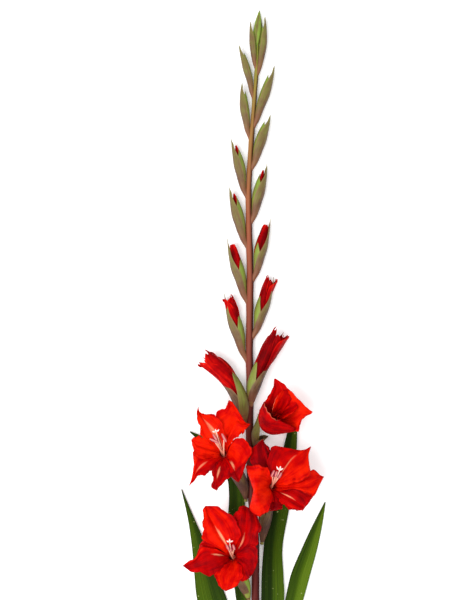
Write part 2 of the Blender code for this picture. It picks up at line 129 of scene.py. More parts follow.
world = bpy.data.worlds.new("studio_dome")
world.use_nodes = True
world.node_tree.nodes["Background"].inputs["Color"].default_value = (1, 1, 1, 1)
world.node_tree.nodes["Background"].inputs["Strength"].default_value = DOME_STRENGTH
bpy.context.scene.world = world
bpy.context.scene.view_settings.view_transform = "Standard"
for lamp_name, lamp in LAMPS.items():
    light = bpy.data.lights.new(lamp_name, "AREA")
    light.size = lamp["size"]
    light.energy = lamp["watts"]
    lamp_object = bpy.data.objects.new(lamp_name, light)
    lamp_object.location = lamp["place"]
    lamp_object.rotation_mode = "QUATERNION"
    lamp_object.rotation_quaternion = lamp_object.location.to_track_quat("Z", "Y")
    bpy.context.scene.collection.objects.link(lamp_object)

# The stem: one fleshy round stalk, ribbed lengthwise, maroon at the foot and green at the tip.
# It grew as one piece and was cut straight at the foot. It swells a little at each flower.
# Sizes are in millimetres, and a height is measured up the stem from the cut.
MM = 0.001
SPIKE_LENGTH = 887
STEM_HEIGHTS = (0, 180, 210, 246, 300, 370, 420, 482, 566, 672, 774, 804, 887)
STEM_SIDEWAYS = (3.0, 2.4, 2.6, 2.4, -1.8, -4.8, -4.2, -4.8, -4.0, -5.6, 0.6, 3.0, 7.1)
STEM_RADII = (5.5, 4.6, 4.6, 4.6, 4.5, 4.4, 4.4, 4.3, 4.1, 3.4, 2.6, 2.3, 0.8)
SHEATHED_HEIGHTS = (0, 48, 74, 110, 132, 190)
SHEATHED_CENTRE_Z = (7.9, 7.95, 7.8, 7.0, 6.2, 4.6)
NODE_HEIGHTS = (
    177.6, 246, 297.6, 360, 387.6, 420, 463.2, 490.8, 532.8, 559.2,
    600, 628.8, 661.2, 693.6, 732, 744, 781, 805.2, 815,
)
STEM_ROWS = 420
STEM_SIDES = 28
STEM_RIBS = 9
NODE_SWELL = 0.35
NODE_REACH = 7
RIB_DEPTH = 0.025
RIB_WINDING = 60
STEM_DIP = 0.2
SHARP_ANGLE = math.radians(50)


def smooth_curve(stations, values, at):
    """Cubic pieces through the values at the stations, with the slopes of the neighbours."""
    stations = np.asarray(stations, float)
    values = np.asarray(values, float)
    slopes = np.gradient(values, stations, axis=0)
    at = np.clip(at, stations[0], stations[-1])
    piece = np.clip(np.searchsorted(stations, at) - 1, 0, len(stations) - 2)
    width = stations[piece + 1] - stations[piece]
    t = (at - stations[piece]) / width
    for _ in values.shape[1:]:
        t, width = t[..., None], width[..., None]
    return (
        (2 * t**3 - 3 * t**2 + 1) * values[piece]
        + (t**3 - 2 * t**2 + t) * width * slopes[piece]
        + (3 * t**2 - 2 * t**3) * values[piece + 1]
        + (t**3 - t**2) * width * slopes[piece + 1]
    )


def stem_x(height):
    return smooth_curve(STEM_HEIGHTS, STEM_SIDEWAYS, height)


def stem_radius(height):
    return smooth_curve(STEM_HEIGHTS, STEM_RADII, height)


def stem_z(height):
    """The stem lies on the floor, and on its own sheaths towards the cut."""
    sheathed = np.interp(height, SHEATHED_HEIGHTS, SHEATHED_CENTRE_Z)
    return np.maximum(stem_radius(height), sheathed)


def height_to_y(height):
    return np.asarray(height, float) - SPIKE_LENGTH / 2


def ease(t):
    """From 0 to 1, slow at both ends."""
    t = np.clip(t, 0, 1)
    return t * t * (3 - 2 * t)


def full_turn(sides):
    return np.linspace(0, 2 * math.pi, sides, endpoint=False)[None, :]


def tube_faces(rows, columns):
    """Quads between rows of points that each run round a tube, with a face over each end."""
    index = np.arange(rows * columns).reshape(rows, columns)
    beside = np.roll(index, -1, axis=1)
    sides = np.stack([index[:-1], beside[:-1], beside[1:], index[1:]], axis=-1)
    return sides.reshape(-1, 4).tolist() + [index[0].tolist(), index[-1].tolist()]


def add_piece(name, points, faces, finish, stands_for, **marks):
    """Makes a piece from points in millimetres, in a finish, which is a skin and its slot. The
    marks are numbers at its points, which its skin reads. It stands for one node of the frame."""
    skin, slot = finish
    mesh = bpy.data.meshes.new(name)
    mesh.from_pydata((np.reshape(points, (-1, 3)) * MM).tolist(), [], faces)
    for key, values in marks.items():
        layer = mesh.attributes.new(key, "FLOAT", "POINT")
        whole = np.broadcast_to(values, np.shape(points)[:-1])
        layer.data.foreach_set("value", np.ravel(whole).astype(np.float32))
    body = bmesh.new()
    body.from_mesh(mesh)
    bmesh.ops.recalc_face_normals(body, faces=body.faces)
    if body.calc_volume(signed=True) < 0:
        bmesh.ops.reverse_faces(body, faces=body.faces)
    body.to_mesh(mesh)
    body.free()
    mesh.materials.append(skin)
    mesh.shade_smooth()
    mesh.set_sharp_from_angle(angle=SHARP_ANGLE)
    piece = bpy.data.objects.new(name, mesh)
    bpy.context.scene.collection.objects.link(piece)
    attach(piece, "root")
    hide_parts(stands_for)


def mark(skin, name):
    """The number kept at a piece's points under this name."""
    return node(skin, "ShaderNodeAttribute", attribute_name=name).outputs["Fac"]


def count(skin, operation, *values):
    """One step of arithmetic in a skin."""
    made = node(skin, "ShaderNodeMath", dict(enumerate(values)), operation=operation)
    return made.outputs["Value"]


def varied(skin, value, noise, amount, less):
    """A value in a skin, plus the noise times the amount, less a fixed number."""
    return count(skin, "ADD", value, count(skin, "MULTIPLY_ADD", noise, amount, -less))


def drawn_noise(skin, across, along, across_scale, along_scale, detail=3.0):
    """Noise drawn out lengthwise, as plant fibres are."""
    x = count(skin, "MULTIPLY", across, across_scale)
    y = count(skin, "MULTIPLY", along, along_scale)
    where = node(skin, "ShaderNodeCombineXYZ", {0: x, 1: y}).outputs[0]
    return node(
        skin, "ShaderNodeTexNoise", {"Vector": where, "Scale": 1.0, "Detail": detail}
    ).outputs["Fac"]


def mixed(skin, share, under, over):
    """A colour laid over another by a share."""
    mix = node(skin, "ShaderNodeMix", {0: share, 6: under, 7: (*over, 1)}, data_type="RGBA")
    return mix.outputs[2]


def colour_and_relief(skin, surface, colour, height, strength, distance):
    """Sets a skin's colour and its fine relief."""
    skin.node_tree.links.new(colour, surface.inputs["Base Color"])
    relief = node(
        skin, "ShaderNodeBump", {"Height": height, "Strength": strength, "Distance": distance}
    )
    skin.node_tree.links.new(relief.outputs["Normal"], surface.inputs["Normal"])


stem_skin, stem_surface = new_skin("stem_skin", 0.42, 0.10)
stem_along = mark(stem_skin, "along")
stem_around = mark(stem_skin, "around")
stem_fibre = drawn_noise(stem_skin, stem_around, stem_along, 9.0, 60.0)
stem_colour = blend(
    stem_skin,
    varied(stem_skin, stem_along, stem_fibre, 0.16, 0.08),
    [
        (0.0, (0.10, 0.09, 0.02)),
        (0.20, (0.095, 0.012, 0.010)),
        (0.42, (0.13, 0.020, 0.016)),
        (0.54, (0.19, 0.042, 0.027)),
        (0.72, (0.31, 0.088, 0.042)),
        (0.87, (0.28, 0.160, 0.042)),
        (0.98, (0.19, 0.260, 0.028)),
    ],
)
# Painted shade: the stem's right side is darkened towards a deep maroon, as if lit from the left.
stem_painted_shade = blend(stem_skin, stem_around, [(0.1, (0, 0, 0)), (0.9, (1, 1, 1))])
stem_colour = mixed(stem_skin, stem_painted_shade, stem_colour, (0.040, 0.006, 0.006))
colour_and_relief(stem_skin, stem_surface, stem_colour, stem_fibre, 0.35, 0.0006)


def build_stem():
    """A round tube along the stem's line, with ribs round it and a swelling at each flower."""
    heights = np.linspace(0, SPIKE_LENGTH, STEM_ROWS)[:, None]
    turns = full_turn(STEM_SIDES)
    from_nodes = (heights - np.array(NODE_HEIGHTS)) / NODE_REACH
    swell = np.exp(-(from_nodes**2)).sum(axis=1, keepdims=True)
    ribs = 1 + RIB_DEPTH * np.cos(STEM_RIBS * turns + heights / RIB_WINDING)
    radius = (stem_radius(heights) + NODE_SWELL * swell) * ribs
    radius = np.minimum(radius, stem_z(heights) + STEM_DIP)
    x = stem_x(heights) + radius * np.cos(turns)
    y = height_to_y(heights) + 0 * turns
    z = stem_z(heights) + radius * np.sin(turns)
    points = np.stack([x, y, z], axis=-1)
    add_piece(
        "stem_stalk", points, tube_faces(STEM_ROWS, STEM_SIDES), (stem_skin, "stem_skin"), "stem",
        along=heights / SPIKE_LENGTH, around=np.cos(turns),
    )


build_stem()

# The leaves: four long sword leaves, stiff and ribbed lengthwise, the two outer ones short.
# Each clasps the stem with its foot, opens at the sheath's mouth and lies flat from there on.
INNER_SHEATH = (5.9, 6.7)
OUTER_SHEATH = (7.1, 7.9)
# The keel is the sheath's outer fold, by height. Laid is the height from which the leaf lies
# flat, and fold is how far its edges rise. The tones are its left and its right half's, and the
# difference between them is painted shade: one half darker, as if turned from the light. A station
# is a height, the blade's inner and outer edge and how far up the stem the outer edge is moved.
LEAVES = {
    "leaf_left": dict(
        side=-1, sheath=OUTER_SHEATH, mouth=(48, 74), laid=150, fold=1.0, tones=(0.6, 0.25),
        keel=((0, 8.8), (18, 12.5), (48, 24.0), (74, 31.0)),
        stations=(
            (90, -7.6, -33.0, 0), (120, -15.0, -48.0, 0), (150, -23.5, -59.0, 0),
            (180, -31.9, -68.0, 0), (210, -44.0, -71.2, 0), (242, -56.0, -74.0, 0),
            (278, -71.5, -79.3, 0), (312, -86.0, -87.0, 0),
        ),
    ),
    "leaf_centre_left": dict(
        side=-1, sheath=INNER_SHEATH, mouth=(110, 132), laid=164, fold=1.2, tones=(0.25, 0.45),
        keel=((0, 6.82), (74, 6.8), (90, 8.4), (110, 12.0), (132, 16.2)),
        stations=(
            (148, -4.6, -17.5, 0), (180, -6.0, -21.0, 0), (230, -9.5, -28.0, 0),
            (276, -10.2, -30.5, 0), (310, -10.6, -29.5, -2), (336, -14.0, -32.5, -9),
            (356, -28.0, -43.0, -14), (371, -50.0, -58.0, -8), (382, -76.0, -77.0, -1),
        ),
    ),
    "leaf_centre_right": dict(
        side=1, sheath=INNER_SHEATH, mouth=(104, 126), laid=164, fold=2.2, tones=(0.06, 0.55),
        keel=((0, 6.82), (58, 6.82), (76, 9.6), (104, 17.4), (126, 23.0)),
        stations=(
            (140, 9.8, 28.6, 0), (180, 9.4, 37.0, 0), (210, 9.9, 36.2, 0), (236, 11.8, 34.9, 0),
            (290, 18.0, 43.2, 0), (330, 27.0, 48.6, 0), (360, 35.5, 52.0, -2),
            (395, 44.0, 52.0, -3), (414, 48.0, 49.0, -1),
        ),
    ),
    "leaf_right": dict(
        side=1, sheath=OUTER_SHEATH, mouth=(36, 58), laid=140, fold=1.0, tones=(0.38, 0.82),
        keel=((0, 8.8), (36, 15.0), (58, 21.5)),
        stations=(
            (76, 14.0, 27.5, 0), (108, 23.4, 38.5, 0), (140, 31.0, 48.0, 0), (180, 38.6, 60.4, 0),
            (210, 45.4, 68.4, -1), (240, 58.0, 76.4, -2), (270, 72.0, 82.8, -2),
            (297, 86.0, 87.0, -1),
        ),
    ),
}
SHEATH_HALF_ANGLE = math.radians(86)
LEAF_THICKNESS = 1.2
LEAF_EDGE_THICKNESS = 0.4
CLOSED_POINT_STEP = 0.5
LEAF_ROWS = 150
SHEATH_INNER_POINTS = 17
SHEATH_OUTER_POINTS = 9
FIN_POINTS = 22
LEAF_RIBS = 7
RIB_HEIGHT = 0.14
LEAF_CLEARANCE = 0.02
KEEL_CLEARANCE = 0.12
LEAF_WAVE = 0.5
LEAF_WAVE_SPACING = 31
LEAF_EDGE_SHADE = 0.25

leaf_skin, leaf_surface = new_skin("leaf_green", 0.5, 0.05)
leaf_across = mark(leaf_skin, "across")
leaf_vein = drawn_noise(leaf_skin, leaf_across, mark(leaf_skin, "along"), 46.0, 3.0, 4.0)
leaf_width = node(leaf_skin, "ShaderNodeCombineXYZ", {0: leaf_across}).outputs[0]
leaf_stripe = node(
    leaf_skin, "ShaderNodeTexWave", {"Vector": leaf_width, "Scale": 7.0, "Distortion": 0.6}
).outputs["Fac"]
leaf_colour = blend(
    leaf_skin,
    varied(leaf_skin, mark(leaf_skin, "tone"), leaf_vein, 1.0, 0.5),
    [
        (0.0, (0.006, 0.016, 0.0)),
        (0.3, (0.018, 0.041, 0.001)),
        (0.65, (0.052, 0.098, 0.002)),
        (1.0, (0.110, 0.180, 0.010)),
    ],
)
leaf_blotch = blend(
    leaf_skin, body_noise(leaf_skin, 230.0, 1.0), [(0.74, (0, 0, 0)), (0.80, (1, 1, 1))]
)
leaf_colour = mixed(leaf_skin, leaf_blotch, leaf_colour, (0.30, 0.33, 0.12))
leaf_relief = varied(leaf_skin, leaf_vein, leaf_stripe, 0.5, 0)
colour_and_relief(leaf_skin, leaf_surface, leaf_colour, leaf_relief, 0.5, 0.0006)


def build_leaf(name, leaf):
    """Outlines across the leaf, from its foot to its tip: an arc round the stem whose half angle
    closes to nothing at the mouth, then the blade between its inner and outer edge, ribbed."""
    side = leaf["side"]
    inner_radius, outer_radius = leaf["sheath"]
    mouth_low, mouth_high = leaf["mouth"]
    blade = np.array(leaf["stations"], float)
    keel_heights, keel_places = np.array(leaf["keel"], float).T
    half = LEAF_THICKNESS / 2
    flat_angle = math.asin(half / outer_radius)
    fold_edge = inner_radius * math.cos(flat_angle)
    heights = np.linspace(0, blade[-1, 0], LEAF_ROWS)
    opened = ease((heights - mouth_low) / (mouth_high - mouth_low))[:, None]
    laid = ease((heights - mouth_high) / (leaf["laid"] - mouth_high))
    centre_z = stem_z(heights) + (half - stem_z(heights)) * laid

    inner_x = stem_x(heights) + side * fold_edge
    stations = np.concatenate([[mouth_high], blade[:, 0]])
    at_mouth = stem_x(mouth_high) + side * fold_edge
    inner_edge = smooth_curve(stations, np.concatenate([[at_mouth], blade[:, 1]]), heights)
    shift = np.where(heights <= mouth_high, 0, side * (inner_edge - inner_x))
    keel_x = stem_x(keel_heights) + side * keel_places
    outline_heights = np.concatenate([keel_heights, blade[:, 0]])
    outer_edge = smooth_curve(outline_heights, np.concatenate([keel_x, blade[:, 2]]), heights)
    skew = np.interp(heights, blade[:, 0], blade[:, 3])
    keel = side * (outer_edge - stem_x(heights)) - shift
    keel = np.maximum(keel, outer_radius + KEEL_CLEARANCE)[:, None]

    half_angle = SHEATH_HALF_ANGLE + (flat_angle - SHEATH_HALF_ANGLE) * opened
    inner_turns = half_angle * np.linspace(-1, 1, SHEATH_INNER_POINTS)
    outer_turns = half_angle + (flat_angle - half_angle) * np.linspace(0, 1, SHEATH_OUTER_POINTS)
    step = np.minimum(CLOSED_POINT_STEP, (keel - outer_radius) / (SHEATH_OUTER_POINTS + 1))
    spread = opened * step * np.arange(SHEATH_OUTER_POINTS)
    top_x = outer_radius * np.cos(outer_turns) + spread
    top_z = outer_radius * np.sin(outer_turns)
    share = np.linspace(0, 1, FIN_POINTS + 1)[None, 1:]
    fin_x = top_x[:, -1:] + (keel - top_x[:, -1:]) * share
    ribs = RIB_HEIGHT * np.cos(2 * math.pi * LEAF_RIBS * share) * np.sin(math.pi * share)
    fin_z = half + (LEAF_EDGE_THICKNESS / 2 - half) * share**1.5 + ribs
    fin_z = np.maximum(fin_z, LEAF_EDGE_THICKNESS / 2) + 0 * fin_x

    upper_x = np.concatenate([top_x, fin_x], axis=1)
    upper_z = np.concatenate([top_z, fin_z], axis=1)
    inner = inner_radius * np.cos(inner_turns)
    across = np.concatenate([inner, upper_x, upper_x[:, ::-1]], axis=1)
    rise = np.concatenate([inner_radius * np.sin(inner_turns), upper_z, -upper_z[:, ::-1]], axis=1)
    place = np.clip((across - inner_radius) / np.maximum(keel - inner_radius, 1), 0, 1)
    waves = 1 + np.sin(heights[:, None] / LEAF_WAVE_SPACING + 2 * place)
    lifted = laid[:, None] * (leaf["fold"] * np.abs(2 * place - 1) + LEAF_WAVE * waves)
    x = stem_x(heights)[:, None] + side * (shift[:, None] + across)
    y = height_to_y(heights)[:, None] + skew[:, None] * place
    z = np.maximum(centre_z[:, None] + rise + lifted, LEAF_CLEARANCE)
    photo_left = place if side < 0 else 1 - place
    # Painted shade: the blade's two halves get different tones, one darker as if turned from the
    # light; it is darker near its edges too.
    left_tone_and_shade, right_tone_and_shade = leaf["tones"]
    edge = np.clip(np.abs(2 * place - 1) * 8 - 7, 0, 1)
    left_share = ease((photo_left - 0.5) * 3 + 0.5)
    tone = right_tone_and_shade + (left_tone_and_shade - right_tone_and_shade) * left_share - LEAF_EDGE_SHADE * edge
    add_piece(
        f"{name}_blade", np.stack([x, y, z], axis=-1), tube_faces(LEAF_ROWS, across.shape[1]),
        (leaf_skin, "leaf_green"), name,
        across=place, along=heights[:, None] / blade[-1, 0], tone=tone,
    )


for leaf_name, leaf_shape in LEAVES.items():
    build_leaf(leaf_name, leaf_shape)

# The open florets: three ruffled funnels, each of six thin, soft petals, called tepals, which
# are joined at the throat on a floral tube. Some tepals carry a pale streak.
# A floret has its throat's place, and leans by so much towards its rim's middle.
FLORETS = {
    1: dict(throat=(-24.7, -212.3, 27.0), lean=(-13.0, 12.0)),
    2: dict(throat=(22.2, -127.9, 27.0), lean=(18.0, 10.0)),
    3: dict(throat=(-36.0, -89.0, 27.0), lean=(-5.0, 11.0), bend=(0.0, 0.5, 0.34)),
}
TEPAL_STATIONS = (0, 0.2, 0.4, 0.6, 0.8, 0.92, 1)
# A tepal's left edge, middle vein and right edge at those stations between foot and tip, in
# millimetres, as seen from the throat. The highest layer lies on top. A streak has a start, an
# end, a half width and a strength.
# The tones at the left edge, the vein and the right edge run from dark crimson to bright
# orange-red, and are partly the tepal's own colour and partly painted light and shade.
TEPALS = {
    (1, "dorsal"): dict(
        left=((-17, 12), (-35, 22), (-36, 36), (-35.7, 49), (-35.6, 58)),
        vein=((-6, 12.5), (-14, 26.5), (-21.5, 38), (-28.5, 50.5), (-32, 57.5)),
        right=((3, 13), (9, 28), (4, 44.5), (-11.5, 58), (-22, 62)),
        tip=(-33.1, 61.9), layer=3, tones=(0.85, 0.8, 0.5), streak=(0.12, 0.62, 0.12, 1.0),
    ),
    (1, "upper_right"): dict(
        left=((0, 14), (1, 30), (0, 46), (4, 55.5), (8.5, 61.5)),
        vein=((6, 10), (11.5, 21), (15, 35), (16.5, 48), (16, 57)),
        right=((13, 8), (27, 14.5), (31, 29), (32.5, 42), (25, 56)),
        tip=(14.5, 62.3), layer=1, tones=(0.3, 0.4, 0.25), streak=(0.2, 0.55, 0.10, 0.8),
    ),
    (1, "lower_right"): dict(
        left=((9, 9), (23, 17), (29.3, 8), (28.2, -6), (24.5, -16)),
        vein=((7, -1), (14, -4.5), (19, -10), (20.5, -16.5), (20, -20.5)),
        right=((4, -5.5), (7, -12), (8.5, -20), (11, -26.5), (15, -26)),
        tip=(18.5, -24), layer=2, tones=(0.25, 0.25, 0.5),
    ),
    (1, "lower_middle"): dict(
        left=((6, -5), (11, -12), (11.5, -22), (6, -29.5), (0, -35)),
        vein=((0, -6.5), (-2, -14), (-4.5, -22), (-7, -30.5), (-8.3, -35.5)),
        right=((-5, -5), (-13, -11), (-22, -20), (-16.5, -31), (-13, -36)),
        tip=(-8.3, -38.4), layer=3, tones=(0.55, 0.75, 0.65),
    ),
    (1, "lower_left"): dict(
        left=((-5, -6), (-16, -15), (-27, -20.5), (-42, -16.5), (-52, -15)),
        vein=((-10, 3), (-22, 5), (-33, 3.5), (-45.5, -5), (-53.5, -9)),
        right=((-8, 5), (-22, 11), (-38.5, 13), (-47, -1), (-54.5, -4.6)),
        tip=(-60, -9.4), layer=2, tones=(0.35, 0.35, 0.7), streak=(0.2, 0.48, 0.12, 0.9),
    ),
    (1, "upper_left"): dict(
        left=((-9, 1.5), (-21, 4), (-32, 6), (-39, 9), (-40, 12.5)),
        vein=((-9, 6), (-19, 11), (-28, 14), (-34.5, 15.5), (-37.5, 16)),
        right=((-7, 10), (-16, 19), (-25, 23), (-33, 23), (-37, 19.5)),
        tip=(-40, 15.5), layer=1, tones=(0.4, 0.4, 0.5),
    ),
    (2, "dorsal"): dict(
        left=((-3, 14), (-5, 36), (2, 49.5), (20, 47), (37, 44.3)),
        vein=((8, 12), (16, 24.5), (24.5, 35.5), (34.5, 42.5), (42, 46)),
        right=((10, 3), (23, 5), (36, 9), (45.5, 18), (43.8, 38)),
        tip=(46.6, 48.7), layer=3, tones=(0.3, 0.6, 0.95), streak=(0.15, 0.7, 0.035, 0.6),
    ),
    (2, "upper_right"): dict(
        left=((10, 5), (24, 10), (38, 15), (49, 21.5), (56.5, 15.5)),
        vein=((11, 0), (24, 1), (37, 4), (49, 8.5), (56.5, 11)),
        right=((10, -4), (24, -1), (40, -6), (49.5, -10), (56, 1)),
        tip=(62, 12.4), layer=2, tones=(0.55, 0.75, 0.85),
    ),
    (2, "lower_right"): dict(
        left=((12, -1), (30, 0), (46, -8), (45.5, -17), (40.5, -22)),
        vein=((9, -5.5), (18, -9.5), (26, -14), (33.5, -19.5), (36.8, -23.5)),
        right=((4, -9), (10, -17), (18, -24), (27, -27), (33, -27)),
        tip=(36.6, -27.5), layer=1, tones=(0.3, 0.4, 0.45), streak=(0.2, 0.66, 0.09, 1.0),
    ),
    (2, "lower_middle"): dict(
        left=((6, -8), (11, -16), (13, -22.5), (9, -26), (4, -27)),
        vein=((1, -8), (1, -15), (1, -20.5), (0, -24.5), (-0.5, -26)),
        right=((-4, -6), (-8, -14), (-10, -20), (-8, -25), (-4.5, -27)),
        tip=(-1, -27.5), layer=0, tones=(0.1, 0.12, 0.12),
    ),
    (2, "lower_left"): dict(
        left=((0, -8), (-2, -20), (-8, -30), (-19, -32), (-27, -24)),
        vein=((-5, 0), (-11, -1), (-17, -2), (-21.5, -2.5), (-22, -3)),
        right=((0, 9), (-3, 20), (-10, 26), (-22, 27), (-31, 23)),
        tip=(-19, -3), layer=4, tones=(0.7, 0.95, 0.75), curl=(0.62, 24),
    ),
    (2, "upper_left"): dict(
        left=((-10, 10), (-20, 23), (-26, 33), (-24.5, 46), (-17, 53.5)),
        vein=((-3, 14), (-6, 27), (-9, 39), (-11, 49), (-11.4, 54)),
        right=((3, 15), (4, 30), (0, 42), (-5, 49), (-9, 53.5)),
        tip=(-11.4, 57.6), layer=1, tones=(0.15, 0.15, 0.1),
    ),
    (3, "dorsal"): dict(
        left=((-11, 10), (-25, 21), (-28.6, 34), (-31.8, 46), (-31.8, 52)),
        vein=((-3, 13), (-11, 27), (-20, 38), (-27.5, 47.5), (-30.6, 53)),
        right=((4, 17), (-1, 35), (-9, 47.5), (-22, 49.3), (-29, 52.3)),
        tip=(-30.3, 57.6), layer=3, tones=(1.0, 0.95, 0.8), streak=(-0.2, 0.78, 0.30, 1.0),
    ),
    (3, "upper_right"): dict(
        left=((-9.5, 46), (2, 57), (9, 65), (20.3, 48.5), (27, 38.5)),
        vein=((3, 18), (8, 31), (15, 42), (22.5, 38), (28, 37.5)),
        right=((7, 12), (14, 20), (20.5, 25), (24.6, 27.6), (28.5, 33)),
        tip=(32.1, 37.3), layer=2, tones=(0.7, 0.9, 0.8),
    ),
    (3, "lower_right"): dict(
        left=((14, 20), (29, 15.5), (33.6, 3), (26, -11), (22, -25)),
        vein=((4, -4), (9, -10.5), (12.5, -17), (15.5, -24.5), (17, -29)),
        right=((1, -6), (3.5, -13), (6.5, -20), (10, -25.5), (13.5, -29.5)),
        tip=(17.9, -32), layer=1, tones=(0.75, 0.6, 0.4), streak=(0.32, 0.66, 0.10, 0.9),
        tip_tone=(0.62, -0.35),
    ),
    (3, "lower_middle"): dict(
        left=((7, -6), (11, -16), (9.6, -24), (0, -32.5), (-5.5, -38)),
        vein=((-1.5, -7), (-5, -15), (-7.5, -23.5), (-8.3, -32), (-8.5, -38.5)),
        right=((-7, -5), (-12.5, -13), (-13.5, -22), (-12.3, -31), (-14.4, -38.4)),
        tip=(-8, -42), layer=0, tones=(0.25, 0.35, 0.3), streak=(0.35, 0.75, 0.14, 0.9),
    ),
    (3, "lower_left"): dict(
        left=((-5, -7), (-12, -15.5), (-20, -22.5), (-31, -25.5), (-36.5, -32)),
        vein=((-8.5, -3.5), (-18, -7), (-26.5, -13), (-33, -21), (-36.2, -29)),
        right=((-11, 2), (-24, 6), (-35.5, 4), (-35.8, -13), (-37.5, -26)),
        tip=(-41, -36.5), layer=1, tones=(0.3, 0.6, 0.9), streak=(0.42, 0.85, 0.10, 0.6),
    ),
    (3, "upper_left"): dict(
        left=((-8, -3), (-21, -3.5), (-33, -2.5), (-35.5, 5), (-37.5, 13)),
        vein=((-10, 4), (-21, 8), (-29.5, 11), (-34.5, 14), (-37, 17)),
        right=((-7, 12), (-18, 19), (-27, 22.5), (-32.5, 22.5), (-36, 20.8)),
        tip=(-38.4, 18.2), layer=2, tones=(0.85, 0.95, 0.95),
    ),
}
NO_STREAK = (0, 0, 0.1, 0.0)
TEPAL_ROWS = 64
TEPAL_COLUMNS = 41
TEPAL_THICKNESS = 0.5
TEPAL_FOOT = 2.6
TEPAL_FOOT_HALF_WIDTH = 3.4
EDGE_WAVE = 1.5
VEIN_CHANNEL = 1.5
FOLD_HEIGHT = 1.1
SCALLOP = 0.9
FRILL = 0.35
RIM_RISE = 30.0
RIM_RADIUS = 44.0
RIM_SHARE = 0.85
WALL_STEEPNESS = 3.2
THROAT_DEPTH = 14
THROAT_RADIUS = 4.5
FACE_TILT = 0.55
LAYER_STEP = 1.8


def tepal_finish(name, dark, middle, bright, streak):
    """A petal's skin: colour by tone, fine veins lengthwise, a pale streak, and painted shade along
    its free edges and in the throat.
    """
    skin, surface = new_skin(name, 0.55, 0.03)
    along = mark(skin, "along")
    across = mark(skin, "across")
    vein = drawn_noise(skin, across, along, 13.0, 1.6, 4.0)
    band = drawn_noise(skin, across, along, 3.2, 2.2, 1.0)
    tone = varied(skin, mark(skin, "tone"), vein, 0.7, 0.35)
    tone = varied(skin, tone, band, 1.0, 0.56)
    tone = varied(skin, tone, body_noise(skin, 110.0), 0.7, 0.37)
    colour = blend(skin, tone, [(0.0, dark), (0.5, middle), (1.0, bright)])
    # Painted shade: the free edges are darkened towards the dark crimson, where they turn and where
    # they overlap the next petal.
    edge = blend(skin, mark(skin, "rim"), [(0.3, (0, 0, 0)), (1.0, (0.8, 0.8, 0.8))])
    colour = mixed(skin, edge, colour, dark)
    colour = mixed(skin, mark(skin, "streak"), colour, streak)
    # Painted shade: each petal's foot, deep in the throat, is darkened.
    throat = blend(skin, along, [(0.02, (0.3, 0.3, 0.3)), (0.12, (0, 0, 0))])
    colour = mixed(skin, throat, colour, (dark[0] * 0.5, 0, dark[2] * 0.5))
    height = varied(skin, vein, body_noise(skin, 900.0), 0.3, 0)
    colour_and_relief(skin, surface, colour, height, 0.5, 0.0010)
    surface.inputs["Subsurface Weight"].default_value = 0.15
    surface.inputs["Subsurface Radius"].default_value = (1.0, 0.12, 0.08)
    surface.inputs["Subsurface Scale"].default_value = 0.002
    return skin, name


tepal_red = tepal_finish(
    "tepal_red", (0.18, 0.0, 0.002), (0.47, 0.0, 0.0), (0.76, 0.012, 0.0), (0.82, 0.30, 0.16)
)


def sheet_faces(rows, columns):
    """Quads round a thin sheet whose rows run out over its upper face and back under it."""
    index = np.arange(rows * columns).reshape(rows, columns)
    beside = np.roll(index, -1, axis=1)
    sides = np.stack([index[:-1], beside[:-1], beside[1:], index[1:]], axis=-1).reshape(-1, 4)
    ends = [sides]
    for row in (index[0], index[-1]):
        out, back = row[: columns // 2], row[columns // 2 :][::-1]
        ends.append(np.stack([out[:-1], out[1:], back[1:], back[:-1]], axis=-1))
    return np.concatenate(ends).tolist()


def sheet_grid(rows, columns):
    """How far along a sheet each row lies, from 0 to 1, and each column across it, from -1 to 1."""
    return np.linspace(0, 1, rows)[:, None], np.linspace(-1, 1, columns)[None, :]


def add_sheet(name, points, thickness, finish, stands_for, **marks):
    """A thin sheet: each face lies half the thickness from the middle, along its normal."""
    normal = np.cross(np.gradient(points, axis=1), np.gradient(points, axis=0))
    normal /= np.maximum(np.linalg.norm(normal, axis=-1, keepdims=True), 1e-9)
    offset = normal * thickness / 2
    ring = np.concatenate([points + offset, (points - offset)[:, ::-1]], axis=1)
    for key, values in marks.items():
        whole = np.broadcast_to(values, points.shape[:-1])
        marks[key] = np.concatenate([whole, whole[:, ::-1]], axis=1)
    add_piece(name, ring, sheet_faces(*ring.shape[:2]), finish, stands_for, **marks)


def funnel_height(x, y, lean):
    """Height above the throat: rises steeply out of the tube, flattens to the rim, whose middle
    lies off the throat by the lean, and falls a little past it. The whole face tilts that way."""
    distance = np.maximum(np.hypot(x, y), 1e-6)
    toward = (lean[0] * x + lean[1] * y) / distance
    beside = (lean[0] * y - lean[1] * x) / distance
    reach = toward + np.sqrt(RIM_RADIUS**2 - beside**2)
    share = distance / reach
    wall = 1 - np.exp(-WALL_STEEPNESS * share) - 0.8 * np.maximum(share - RIM_SHARE, 0) ** 2
    depth = THROAT_DEPTH * np.exp(-((distance / THROAT_RADIUS) ** 2))
    tilt = FACE_TILT * (lean[0] * x + lean[1] * y) / RIM_RISE
    return RIM_RISE * wall - depth - tilt * ease(share)


def painted_edge_shade(u, v):
    """Where a petal's free edge gets painted shade: 1 on the edge, and less within a tenth of its
    width.
    """
    side = np.clip(np.abs(v) * 10 - 9, 0, 1) * ease((u - 0.3) / 0.3)
    return np.maximum(side, np.clip(u * 25 - 24, 0, 1))


